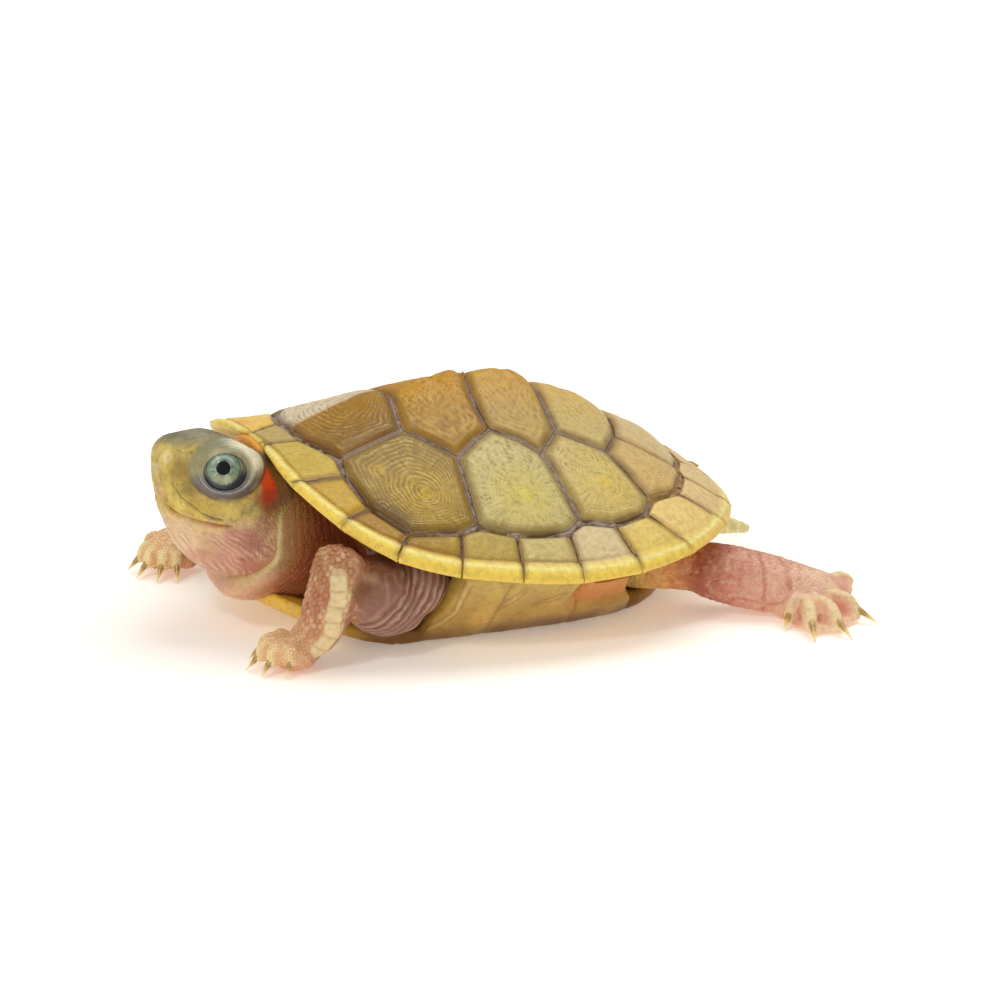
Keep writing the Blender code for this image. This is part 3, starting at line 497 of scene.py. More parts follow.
def growScute(name, others):
    obj, hidden, onRim = openCage(name)
    places, normals = placesOf(obj), normalsOf(obj)
    x, y = places[:, 0], places[:, 1]
    gap = nearestGap(others, places)
    middle = np.array(growthPatch(name))
    patch = lengthsOf(places - middle)
    rings, grains = carapace["marks"].get(scuteKey(name), carapace["rimMarks"])
    share = patch / (patch + gap + 1e-6)
    warp = (softNoise(places, 1.7, 3) * 0.6 + softNoise(places, 0.7, 5) * 0.36
            + softNoise(places, 0.3, 9) * 0.17)
    steps = share * carapace["lines"]
    line = wave(steps + warp) * (0.35 + 0.65 * smoothstep(-0.6, 0.35, softNoise(places, 0.45, 11)))
    # grains that point at the middle
    way = (places - middle) / (patch[:, None] + 1e-6)
    drawn = softNoise(way * 23 + np.outer(patch * 2.8, hidden), 1.0, 23)
    even = softNoise(places, 0.21, 29)
    far = smoothstep(0.9, 1.8, patch)
    rice = 2.0 * (far * drawn + (1 - far) * even) + 0.3 * softNoise(places, 0.17, 41) + 0.5
    line = rings * line
    inner = smoothstep(0.3, 0.8, gap)
    height = (carapace["lineDepth"] * line + carapace["grainDepth"] * grains * rice) * inner
    height -= carapace["roll"] * bell(gap, 0, carapace["rollWidth"])
    height += carapace["lip"] * bell(gap, carapace["lipAt"], 0.06)
    height -= carapace["furrow"] * bell(gap, carapace["furrowAt"], 0.05)
    height += carapace["ridge"] * bell(gap, carapace["ridgeAt"], 0.18)
    height += carapace["lumpDepth"] * softNoise(places, carapace["lumpSize"], 7) * inner
    underneath = smoothstep(0.1, -0.3, normals[:, 2])
    if onRim:
        # the rim's rounded lip, with a groove above it
        reach = rimShare(places)
        onLip = smoothstep(0.66, 0.78, reach)
        height *= 1 - 0.8 * onLip
        line, rice = line * (1 - onLip), rice * (1 - onLip)
        front = smoothstep(6.0, 1.0, y)
        height += (0.4 + 0.6 * front) * carapace["rimLip"] * bell(reach, 0.86, 0.09)
        height -= (0.1 + 0.9 * front) * carapace["rimGroove"] * bell(reach, 0.71, 0.03)
        gap = gap + 0.12 * smoothstep(0.74, 0.86, reach)
        setMask(obj, "onLip", smoothstep(0.72, 0.84, reach))
    else:
        setMask(obj, "onLip", np.zeros(len(places)))
    height *= 1 - underneath
    # the keel's tips are worn down
    tip = 0.22 * np.exp(-(gap / 0.45) ** 2 - (x / 0.6) ** 2) * name.startswith("vertebral")
    movePlaces(obj, places + normals * height[:, None] - np.outer(tip, (0, 0, 1)))
    # seams grow faint towards the rear
    setMask(obj, "seamGap", gap + 2 * underneath + 0.1 * smoothstep(5, 11, y))
    setMask(obj, "growthLine", (line + grains * rice) * inner * (1 - underneath))
    setTint(obj, "scuteTint", scuteTint(name, places, patch, gap, underneath))
    closeScute(obj, hidden, onRim)
    return obj


def scuteTint(name, places, patch, gap, underneath):
    x, y, z = places.T
    # the far rim's first scute is painted brighter orange: partly its own colour, partly painted light
    # shining through it
    key = "farRimTintAndLight" if name == "marginal_right_1" else scuteKey(name)
    field, warm = (np.array(linear(*colour)) for colour in carapace["tints"][key])
    share = np.zeros(len(places))
    if name.startswith("vertebral"):
        share = smoothstep(4.2, 0.4, np.abs(x)) * (0.8 + 0.2 * softNoise(places, 1.1, 31))
    elif name.startswith("costal"):
        share = 0.45 * smoothstep(3.2, 0.9, patch) + 0.55 * smoothstep(0.62, 0.4, patch)
        if scuteKey(name) == "costal_1":
            second = np.array(carapace["secondPatch"]) * (1 if "left" in name else -1, 1, 1)
            near = lengthsOf(places - second)
            share = np.maximum(share, 0.6 * smoothstep(0.75, 0.35, near))
    else:
        share = smoothstep(0.2, 0.75, softNoise(places, 1.6, 37))
    tint = field + np.outer(np.clip(share, 0, 1), warm - field)
    # painted sheen: the first vertebral's far half, past the keel, is painted pale
    if name == "vertebral_1":
        soften(tint, carapace["paintedSheenTint"], 0.85 * smoothstep(-0.15, -0.7, x))
    if scuteKey(name) == "costal_1":
        low = smoothstep(1.9, 0.3, gap) * smoothstep(-6.6, -8.8, y) * smoothstep(10.4, 9.2, z)
        soften(tint, (84, 56, 32), 0.9 * low)
    if name.startswith(("marginal", "nuchal")):
        reach = rimShare(places)
        lip = np.maximum(smoothstep(0.68, 0.84, reach) * (1 - 0.6 * smoothstep(5, 12, y)), underneath)
        soften(tint, carapace["rimTint"], lip)
        # a painted highlight along the lip, darker yellow at the very edge
        lipHighlight = bell(reach - 0.85 - 0.02 * softNoise(places, 1.2, 39), 0, 0.035) * (1 - underneath)
        soften(tint, (255, 244, 168), 0.7 * lipHighlight)
        soften(tint, (240, 202, 88), 0.6 * smoothstep(0.9, 0.97, reach))
        lined = bell(reach, 0.7, 0.03) * (0.12 + 0.4 * smoothstep(6, 1, y))
        soften(tint, (150, 110, 50), lined * (1 - underneath))
    return tint


def rimOutline():
    # the shell's rim seen from above, as angles and distances from its middle
    points = [(vert.co * perMm).xy for name in nodes if name.startswith(("marginal", "nuchal"))
              for vert in nodes[name].data.vertices]
    hull = [points[i] for i in convex_hull_2d(points)]
    spread = [start.lerp(stop, k / 20) for start, stop in zip(hull, hull[1:] + hull[:1]) for k in range(20)]
    polar = sorted((atan2(x, y), (x * x + y * y) ** 0.5) for x, y in spread)
    return np.array(polar).T


rimAngles, rimReach = rimOutline()


def rimShare(places):
    # 1 at the shell's rim, 0 a rim scute's width inwards
    x, y = places[:, 0], places[:, 1]
    rim = np.interp(np.arctan2(x, y), rimAngles, rimReach, period=2 * pi)
    return np.clip(1 - (rim - np.hypot(x, y)) / carapace["rimWidth"], 0, 1)


scuteNames = sorted(name for name in nodes if name.startswith(("vertebral", "costal", "marginal", "nuchal")))
scuteGroups = {
    "vertebral_scutes": ("vertebralHorn", "vertebral_horn", "vertebral"),
    "costal_scutes_left": ("costalHorn", "costal_horn", "costal_left"),
    "costal_scutes_right": ("costalHorn", "costal_horn", "costal_right"),
    "marginal_scutes_left": ("marginalHorn", "marginal_horn", "marginal_left"),
    "marginal_scutes_right": ("marginalHorn", "marginal_horn", ("marginal_right", "nuchal")),
}


def othersTree(name):
    # all the other scutes, as one surface to measure the seam from
    points, faces = [], []
    for other in scuteNames:
        if other != name:
            start = len(points)
            points += [vert.co * perMm for vert in nodes[other].data.vertices]
            faces += [[start + i for i in face.vertices] for face in nodes[other].data.polygons]
    return BVHTree.FromPolygons(points, faces)


grown, members = {}, {}
for pieceName, (look, slot, start) in scuteGroups.items():
    members[pieceName] = [name for name in scuteNames if name.startswith(start)]
    scutes = [growScute(name, othersTree(name)) for name in members[pieceName]]
    grown[pieceName] = joinPieces(scutes, pieceName)
    print(pieceName, len(grown[pieceName].data.vertices), "points")


seamBed = {
    "swell": 0.19, "voxel": 0.12, "smoothing": 6, "sink": 0.085, "bead": 0.05, "hide": 0.16, "kept": 190000,
}


def makeSeamBed():
    # the soft line between the scutes, drawn down onto their edges and sunk out of sight elsewhere
    copies, points, gaps, lips = [], [], [], []
    for obj in grown.values():
        points.append(placesOf(obj))
        gaps.append(maskOf(obj, "seamGap"))
        lips.append(maskOf(obj, "onLip"))
        copy = newPiece("bed_part", obj.data.copy())
        movePlaces(copy, placesOf(copy) + normalsOf(copy) * seamBed["swell"])
        copies.append(copy)
    bed = remeshed(joinPieces(copies, "seam_bed"), seamBed["voxel"], seamBed["smoothing"])
    places, normals = placesOf(bed), normalsOf(bed)
    x, y = places[:, 0], places[:, 1]
    points = np.concatenate(points)
    nearest = nearestIndex(points, places)
    gap, away = np.concatenate(gaps)[nearest], places - points[nearest]
    above = (away * normals).sum(axis=1)
    aside = lengthsOf(away - above[:, None] * normals)
    crest = smoothstep(0.24, 0.15, gap)
    bead = crest * smoothstep(0.03, 0.08, aside)
    # the bed's hidden underside stays where it is
    above = np.where(normals[:, 2] > -0.1, above, 0)
    drop = above + seamBed["sink"] - seamBed["bead"] * bead + seamBed["hide"] * (1 - crest)
    onLip = np.concatenate(lips)[nearest]
    drop += 0.3 * smoothstep(0.9, 0.3, np.abs(x)) + 0.05 * onLip
    movePlaces(bed, places - normals * drop[:, None])
    # lilac between the dome's scutes, brown where the rim begins, paler to the rear
    onRim = smoothstep(0.76, 0.86, np.hypot(x / 16.0, (y - 1.0) / 18.5))
    tint = plainTint(places, 160, 140, 124)
    for colour, share in (((124, 88, 54), onRim), ((96, 70, 50), 0.6 * (1 - bead) * (1 - onRim)),
                          ((186, 152, 108), 0.8 * smoothstep(5, 12, y)), ((196, 158, 76), onLip)):
        soften(tint, colour, share)
    setTint(bed, "seamTint", tint)
    thinOut(bed, seamBed["kept"], smoothstep(0.25, 0.6, gap))
    return bed


def seamMaterial():
    material, tree, shader = newMaterial("seamHorn", **{"Specular IOR Level": 0.2})
    cloud, = noisesOf(tree, (-800, -200), (perMm * 2.2, 4.0))
    shade = rampOf(tree, (-560, -60), cloud,
                   ((0.34, (0.62, 0.56, 0.5)), (0.5, (0.95, 0.95, 0.95)), (0.7, (1.2, 1.2, 1.2))))
    tint = mixOf(tree, (-260, 100), 1.0, attributeOf(tree, (-800, 100), "seamTint"), shade, "MULTIPLY")
    rough = rangeOf(tree, (-260, -160), cloud, 0.0, 1.0, 0.35, 0.6)
    wire(tree, shader, {"Base Color": tint, "Roughness": rough})
    return material


bed = makeSeamBed()
finishPiece(bed, seamMaterial(), ())
for pieceName, (look, slot, start) in scuteGroups.items():
    finishPiece(grown[pieceName], hornMaterials[look], members[pieceName])
print("carapace finished:", len(bed.data.vertices), "points in the seam bed")


flesh = {
    "bodyVoxel": 0.11, "headVoxel": 0.065, "smoothing": 4,
    "bodyKept": 113000, "headKept": 83000,  # triangles left in the finished skin
    "collarBack": 0.75, "collarTilt": 2.15, "collarDrop": 0.2,
    "pocket": ((8.9, -7.5, 4.3), (2.6, 2.6, 2.3)),
    "trunkSunk": 0.12,  # how far the trunk lies inside the shell's parts
    "inside": (6.8, -7, 8), "insideKept": 0.05,  # half width, start and end of the trunk out of sight
    # y, half width, top and bottom of each cross-section
    "head": (
        (-20.33, 0.3, 10.75, 9.5), (-20.25, 0.9, 11.2, 9.0), (-20.1, 1.4, 11.75, 8.0),
        (-19.7, 2.05, 12.1, 6.6), (-19.0, 2.7, 12.35, 5.2), (-18.0, 3.3, 12.4, 4.15),
        (-17.0, 3.8, 12.35, 3.5), (-16.0, 4.25, 12.0, 3.15), (-15.0, 4.5, 11.4, 3.0),
        (-13.4, 4.5, 10.6, 2.95), (-12.2, 3.6, 9.8, 3.6),
    ),
    "neck": (
        (-15.0, 4.35, 11.3, 2.75), (-14.98, 4.62, 11.45, 2.45), (-14.85, 4.8, 11.45, 2.25),
        (-14.5, 4.97, 11.1, 2.0), (-13.4, 5.2, 10.7, 1.7), (-12.0, 5.4, 10.4, 1.45), (-10.2, 5.4, 10.2, 1.4),
        (-8.0, 5.0, 9.4, 2.0),
    ),
    "waist": 0.6, "neckWaist": 0.5, "squareness": 2.35,
    "roll": radians(10), "rollHeight": 9.0,  # the head turns with its left side up
    "tail": ((0, 9, 3.4, 2.0), (0, 13, 3.2, 1.45), (0, 16.4, 2.7, 0.85), (0, 19.3, 1.9, 0.3)),
    "clawShare": 0.34, "clawRadius": 0.26, "clawTip": 0.05, "webScallop": 0.93,
}
headTurn = (
    Matrix.Translation((0, 0, flesh["rollHeight"])) @ Matrix.Rotation(-flesh["roll"], 4, "Y")
    @ Matrix.Translation((0, 0, -flesh["rollHeight"]))
)
# Spines are x, y, height and radius, from the body outwards.
limbs = {
    "front_left": {
        "upper": ((5.2, -6.6, 3.9, 2.1), (8.6, -8.4, 3.5, 2.5), (10.5, -10.6, 4.5, 2.2),
                  (10.9, -12.5, 5.5, 1.2)),
        "lower": ((11.0, -12.3, 7.5, 0.6), (11.0, -12.5, 6.8, 1.5), (10.9, -13.1, 4.4, 1.6),
                  (10.6, -13.8, 2.5, 1.35), (10.4, -14.3, 1.8, 1.2)),
        "ankle": ((10.6, -13.8, 2.5, 1.3), (10.1, -14.8, 1.2, 1.15)),
        "palm": (10.0, -15.2, 1.05), "palmRadii": (1.75, 1.45, 1.05),
        "tips": ((6.9, -15.7, 0.12), (7.7, -17.3, 0.10), (9.5, -18.1, 0.08), (11.1, -17.7, 0.08),
                 (12.0, -16.4, 0.10)),
        "knuckle": 2.2, "toe": 0.66, "web": 0.40,
        "band": ((12.2, -13.2, 6.3), (12.42, -13.25, 4.95), (12.2, -13.5, 3.9), (11.85, -13.6, 2.6),
                 (11.3, -14.3, 1.5)),
    },
    "front_right": {
        "upper": ((-5.2, -6.6, 3.9, 2.1), (-8.6, -8.4, 3.5, 2.5), (-10.6, -10.6, 4.4, 2.2),
                  (-11.1, -12.5, 5.2, 1.2)),
        "lower": ((-11.2, -12.3, 7.2, 0.6), (-11.2, -12.5, 6.5, 1.5), (-11.2, -13.2, 4.3, 1.6),
                  (-11.0, -14.0, 2.5, 1.35), (-10.9, -14.5, 1.8, 1.2)),
        "ankle": ((-11.0, -14.0, 2.5, 1.3), (-10.8, -15.0, 1.2, 1.15)),
        "palm": (-11.3, -15.3, 1.5), "palmRadii": (1.9, 1.6, 1.25),
        "tips": ((-8.4, -16.2, 0.10), (-8.9, -17.4, 0.10), (-10.2, -18.3, 0.08), (-12.0, -18.3, 0.10),
                 (-13.9, -17.0, 0.60)),
        "knuckle": 2.3, "toe": 0.66, "web": 0.62,
        "band": ((-12.3, -13.2, 6.1), (-12.5, -13.3, 4.9), (-12.4, -13.6, 3.9), (-12.1, -14.0, 2.6)),
    },
    "hind_left": {
        "upper": ((3.6, 6.2, 3.2, 2.2), (6.4, 9.2, 3.0, 1.9), (8.5, 11.7, 2.75, 1.55)),
        "lower": ((8.1, 11.3, 2.8, 1.4), (9.4, 12.9, 2.5, 1.8), (10.9, 15.2, 2.0, 1.85),
                  (11.4, 16.0, 1.9, 1.75)),
        "ankle": ((10.9, 15.2, 2.0, 1.75), (12.0, 17.0, 1.65, 1.65), (12.9, 19.6, 1.2, 1.1)),
        "palm": (12.4, 17.3, 0.95), "palmRadii": (1.9, 2.1, 1.2),
        "tips": ((15.0, 14.9, 0.12), (17.9, 15.6, 0.08), (18.3, 17.9, 0.08), (15.9, 20.8, 0.08),
                 (11.6, 22.2, 1.15)),
        "knuckle": 1.9, "toe": 0.72, "web": 0.78,
    },
    "hind_right": {
        "upper": ((-3.6, 6.2, 3.2, 2.2), (-7.0, 8.2, 3.0, 1.9), (-9.7, 9.9, 2.75, 1.55)),
        "lower": ((-9.3, 9.6, 2.8, 1.4), (-10.9, 10.8, 2.5, 1.8), (-12.6, 12.4, 2.0, 1.85),
                  (-13.3, 13.1, 1.9, 1.75)),
        "ankle": ((-12.6, 12.4, 2.0, 1.75), (-13.8, 13.9, 1.65, 1.65), (-15.1, 16.0, 1.2, 1.1)),
        "palm": (-14.1, 14.1, 0.95), "palmRadii": (1.9, 2.1, 1.2),
        "tips": ((-16.0, 11.4, 0.12), (-18.9, 12.2, 0.08), (-19.3, 14.6, 0.08), (-17.3, 17.6, 0.08),
                 (-13.6, 18.9, 0.12)),
        "knuckle": 1.9, "toe": 0.72, "web": 0.78,
    },
}


def along(table, place):
    # smooth values between the rows of a table whose first column is the place
    rows = np.array(table, float)
    i = int(np.clip(np.searchsorted(rows[:, 0], place) - 1, 0, len(rows) - 2))
    left, right = rows[i], rows[i + 1]
    span = right[0] - left[0]
    share = min(max((place - left[0]) / span, 0.0), 1.0)
    slope = (right - left) / span
    before = (left - rows[i - 1]) / (left[0] - rows[i - 1][0]) if i else slope
    after = (rows[i + 2] - right) / (rows[i + 2][0] - right[0]) if i + 2 < len(rows) else slope
    start = np.where(before * slope <= 0, 0.0, 2 * before * slope / (before + slope + 1e-12))
    stop = np.where(after * slope <= 0, 0.0, 2 * after * slope / (after + slope + 1e-12))
    s2, s3 = share ** 2, share ** 3
    return ((2 * s3 - 3 * s2 + 1) * left + (s3 - 2 * s2 + share) * span * start
            + (3 * s2 - 2 * s3) * right + (s3 - s2) * span * stop)[1:]


def spineAt(rows, share):
    # point and radius on a smooth curve through the rows
    rows = np.array(rows, float)
    place = min(max(share, 0.0), 1.0) * (len(rows) - 1)
    i = min(int(place), len(rows) - 2)
    t = place - i
    p1, p2 = rows[i], rows[i + 1]
    p0 = rows[i - 1] if i else 2 * p1 - p2
    p3 = rows[i + 2] if i + 2 < len(rows) else 2 * p2 - p1
    value = 0.5 * (2 * p1 + (p2 - p0) * t + (2 * p0 - 5 * p1 + 4 * p2 - p3) * t ** 2
                   + (3 * p1 - p0 - 3 * p2 + p3) * t ** 3)
    return Vector(value[:3]), float(value[3])


def closedPiece(name, bm):
    bmesh.ops.recalc_face_normals(bm, faces=bm.faces)
    mesh = bpy.data.meshes.new(name)
    bm.to_mesh(mesh)
    bm.free()
    return newPiece(name, mesh)


def loftOf(name, rings):
    # a closed skin over rings of points, each end drawn to its middle
    bm = bmesh.new()
    loops = [[bm.verts.new(point) for point in ring] for ring in rings]
    for near, far in zip(loops, loops[1:]):
        for i in range(len(near)):
            j = (i + 1) % len(near)
            bm.faces.new((near[i], near[j], far[j], far[i]))
    for loop in (loops[0], loops[-1]):
        hub = bm.verts.new(sum((vert.co for vert in loop), Vector()) / len(loop))
        for i in range(len(loop)):
            bm.faces.new((loop[i], loop[(i + 1) % len(loop)], hub))
    return closedPiece(name, bm)


def tubeOf(name, rows, steps=24, sides=24, domed=True):
    rings, side = [], None
    for step in range(steps + 1):
        share = step / steps
        centre, radius = spineAt(rows, share)
        ahead = (spineAt(rows, share + 0.01)[0] - spineAt(rows, share - 0.01)[0]).normalized()
        side = (ahead.orthogonal() if side is None else side - ahead * side.dot(ahead)).normalized()
        other = ahead.cross(side)
        ring = [(cos(2 * pi * k / sides) * side + sin(2 * pi * k / sides) * other) for k in range(sides)]
        if domed and step == steps:
            for k in range(4):
                angle = pi / 2 * k / 4
                rings.append([centre + radius * (cos(angle) * way + sin(angle) * ahead * 0.8)
                              for way in ring])
        else:
            rings.append([centre + radius * way for way in ring])
    return loftOf(name, rings)


def bodyLoft(name, sections, waist, steps=60, sides=56):
    rings, power = [], flesh["squareness"]
    first, last = sections[0][0], sections[-1][0]
    for step in range(steps + 1):
        y = first + (last - first) * (step / steps) ** 1.5
        halfWidth, top, bottom = along(sections, y)
        middle = bottom + waist * (top - bottom)
        ring = []
        for k in range(sides):
            c, s = cos(2 * pi * k / sides), sin(2 * pi * k / sides)
            reach = (abs(c) ** power + abs(s) ** power) ** (-1 / power)
            height = top - middle if s > 0 else middle - bottom
            ring.append(Vector((halfWidth * c * reach, y, middle + height * s * reach)))
        rings.append(ring)
    return loftOf(name, rings)


def toeSpine(limb, tip):
    # from the palm over the knuckle to the claw's tip
    base, end, radius = Vector(limb["palm"]), Vector(tip), limb["toe"]
    start, joint, nail = base.lerp(end, 0.12), base.lerp(end, 0.5), base.lerp(end, 1 - flesh["clawShare"])
    middle = nail.lerp(end, 0.25)
    lift = end.z * 0.8
    return (
        (start.x, start.y, base.z, radius * 1.05),
        (joint.x, joint.y, limb["knuckle"] * 0.62 + lift * 0.5, radius),
        (nail.x, nail.y, limb["knuckle"] * 0.44 + lift * 0.9, radius * 0.74),
        (middle.x, middle.y, limb["knuckle"] * 0.34 + lift, flesh["clawRadius"]),
        (end.x, end.y, end.z + flesh["clawTip"], flesh["clawTip"]),
    )


def webOf(limb):
    # a thin membrane over the toes' spread, higher on the toes than between them
    palm = Vector(limb["palm"])
    outline = [palm]
    tips = [Vector(tip) for tip in limb["tips"]]
    for tip, following in zip(tips, tips[1:] + [None]):
        outline.append(palm.lerp(tip, limb["web"]))
        if following:
            outline.append(palm.lerp(tip.lerp(following, 0.5), limb["web"] * flesh["webScallop"]))
    bm = bmesh.new()
    low, high = ([bm.verts.new((p.x, p.y, height + 0.9 * max(p.z - 0.12, 0))) for p in outline]
                 for height in (0.06, 0.42))
    for i in range(len(outline)):
        j = (i + 1) % len(outline)
        bm.faces.new((low[i], low[j], high[j], high[i]))
    for loop in (low, high):
        for i in range(1, len(loop) - 1):
            bm.faces.new((loop[0], loop[i], loop[i + 1]))
    return closedPiece("web", bm)


def ballAt(place, radii):
    deselectAll()
    bpy.ops.mesh.primitive_uv_sphere_add(segments=32, ring_count=20, radius=1.0, location=place, scale=radii)
    bpy.ops.object.transform_apply()
    return bpy.context.object


def makeBody():
    trunk = nodeCopy("trunk")
    movePlaces(trunk, placesOf(trunk) - normalsOf(trunk) * flesh["trunkSunk"])
    neck = bodyLoft("neck", flesh["neck"], flesh["neckWaist"])
    places = placesOf(neck)
    # the collar's lower edge reaches forward under the chin
    low = smoothstep(5.4, 2.6, places[:, 2]) * smoothstep(-12.3, -14.8, places[:, 1])
    places[:, 1] += flesh["collarBack"] * smoothstep(-12.3, -14.8, places[:, 1]) - flesh["collarTilt"] * low
    places[:, 2] -= flesh["collarDrop"] * low
    movePlaces(neck, places)
    parts = [trunk, neck, tubeOf("tail", flesh["tail"])]
    for name, limb in limbs.items():
        if name.startswith("front"):
            (x, y, z), radii = flesh["pocket"]
            parts.append(ballAt((x if "left" in name else -x, y, z), radii))
        parts += [tubeOf(part, limb[part]) for part in ("upper", "lower", "ankle")]
        parts += [ballAt(limb["palm"], limb["palmRadii"]), webOf(limb)]
        parts += [tubeOf("toe", toeSpine(limb, tip)[:4], 14, 14) for tip in limb["tips"]]
    return remeshed(joinPieces(parts, "body_flesh"), flesh["bodyVoxel"], flesh["smoothing"])


def makeHead():
    head = bodyLoft("head_flesh", flesh["head"], flesh["waist"])
    return remeshed(head, flesh["headVoxel"], flesh["smoothing"])


body = makeBody()
print("body flesh:", len(body.data.vertices), "points")
head = makeHead()
print("head flesh:", len(head.data.vertices), "points")


eyes = {
    "centre": (2.95, -16.95, 10.15), "axis": (0.936, -0.312, 0.162), "radius": 1.9,
    # the opening between the lids and the outer edge of their ring: middle and half sizes, forwards and up
    "opening": (-0.11, -0.235, 1.29, 1.10), "ring": (-0.25, 0.02, 2.25, 1.9),
    "ringBase": 0.6, "ringRise": 1.3, "lidEdge": 0.13,
    "iris": 1.02, "cornea": 0.1,
}
eyeAxis = Vector(eyes["axis"]).normalized()
eyeUp = (Vector((0, 0, 1)) - eyeAxis * eyeAxis.z).normalized()
eyeAhead = eyeAxis.cross(eyeUp)


def eyeFrame(places):
    # places beside the left eye as forwards, up and outwards; the right side is its mirror
    away = sided(places) - np.array(eyes["centre"])
    return away @ np.array(eyeAhead), away @ np.array(eyeUp), away @ np.array(eyeAxis)


def lidShare(ahead, up):
    # 0 at the edge of the opening, 1 at the outer edge of the ring, below 0 inside the opening
    inner, outer = np.array(eyes["opening"]), np.array(eyes["ring"])
    low, high = np.full(len(ahead), -1.0), np.full(len(ahead), 3.0)
    for _ in range(22):
        share = (low + high) / 2
        midAhead, midUp, halfAhead, halfUp = (inner[k] + share * (outer[k] - inner[k]) for k in range(4))
        inside = np.hypot((ahead - midAhead) / np.maximum(halfAhead, 0.05),
                          (up - midUp) / np.maximum(halfUp, 0.05)) < 1
        low, high = np.where(inside, low, share), np.where(inside, share, high)
    return (low + high) / 2


def strokeGap(places, points):
    # distance from a line of points, and how far along it, from 0 to 1
    points = np.array(points, float)
    lengths = lengthsOf(np.diff(points, axis=0))
    starts = np.concatenate(([0.0], np.cumsum(lengths)))
    best, share = np.full(len(places), 1e9), np.zeros(len(places))
    for i, length in enumerate(lengths):
        way = (points[i + 1] - points[i]) / length
        run = np.clip((places - points[i]) @ way, 0, length)
        gap = lengthsOf(places - points[i] - run[:, None] * way)
        nearer = gap < best
        best = np.where(nearer, gap, best)
        share = np.where(nearer, (starts[i] + run) / starts[-1], share)
    return best, share


def shapeLids(obj):
    places = placesOf(obj)
    ahead, up, out = eyeFrame(places)
    share = lidShare(ahead, up)
    near = (out > -1.3) & (share < 1.2)
    reach = np.hypot(ahead, up)
    ballTop = np.sqrt(np.maximum(eyes["radius"] ** 2 - np.minimum(reach, 1.86) ** 2, 0))
    midAhead, midUp, halfAhead, halfUp = eyes["ring"]
    ringMiddle = np.hypot((ahead - midAhead) / halfAhead, (up - midUp) / halfUp)
    dome = eyes["ringBase"] + eyes["ringRise"] * np.sqrt(np.maximum(1 - ringMiddle ** 2, 0))
    mixed = smoothstep(0.0, 0.5, share)
    height = (1 - mixed) * (ballTop + eyes["lidEdge"]) + mixed * dome
    height -= 0.05 * bell(share, 0.34, 0.07) + 0.035 * bell(share, 0.68, 0.06)
    height += 0.03 * bell(share, 0.12, 0.09)
    merged = smoothstep(0.66, 1.15, share)
    height = (1 - merged) * height + merged * out
    height -= 0.07 * bell(share, 1.02, 0.06)
    # the edge of the opening becomes a clean wall down beside the ball
    wall = smoothstep(-0.16, 0.02, share)
    edge = (1 - wall) * (ballTop - 0.45) + wall * (ballTop + eyes["lidEdge"])
    height = np.where(share < 0.02, edge, height)
    pulled = np.where((share > -0.16) & (share < 0.02), 0.0 - share, 0.0)
    middle = np.array(eyes["opening"][:2])
    aheadNew = ahead + (ahead - middle[0]) * pulled * 0.75
    upNew = up + (up - middle[1]) * pulled * 0.75
    moved = (np.outer(aheadNew, eyeAhead) + np.outer(upNew, eyeUp) + np.outer(height, eyeAxis)
             + np.array(eyes["centre"]))
    moved[:, 0] *= np.where(places[:, 0] < 0, -1, 1)
    places[near] = moved[near]
    movePlaces(obj, places)


def cellsOf(places, size, seed):
    # rounded cells: distances to the nearest and the second nearest seed, and a number for each cell
    spread = places / size + seed * 3.17
    base = np.floor(spread).astype(np.int64)
    first, second = np.full(len(places), 9.0), np.full(len(places), 9.0)
    owner = np.zeros(len(places))
    for offset in np.ndindex(3, 3, 3):
        key = base + np.array(offset) - 1
        code = key[:, 0] * 73856093 ^ key[:, 1] * 19349663 ^ key[:, 2] * 83492791 ^ seed * 40503
        spot = key.astype(float)
        for axis in range(3):
            code = (code ^ (code >> 13)) * 1274126177 + axis
            spot[:, axis] += 0.15 + 0.7 * (((code ^ (code >> 16)) & 65535) / 65535.0)
        gap = lengthsOf(spread - spot)
        nearer = gap < first
        second = np.where(nearer, first, np.minimum(second, gap))
        owner = np.where(nearer, ((code >> 5) & 1023) / 1023.0, owner)
        first = np.where(nearer, gap, first)
    return first, second, owner


def sided(places):
    # places with the right side folded onto the left
    return places * np.where(places[:, :1] < 0, (-1.0, 1.0, 1.0), (1.0, 1.0, 1.0))


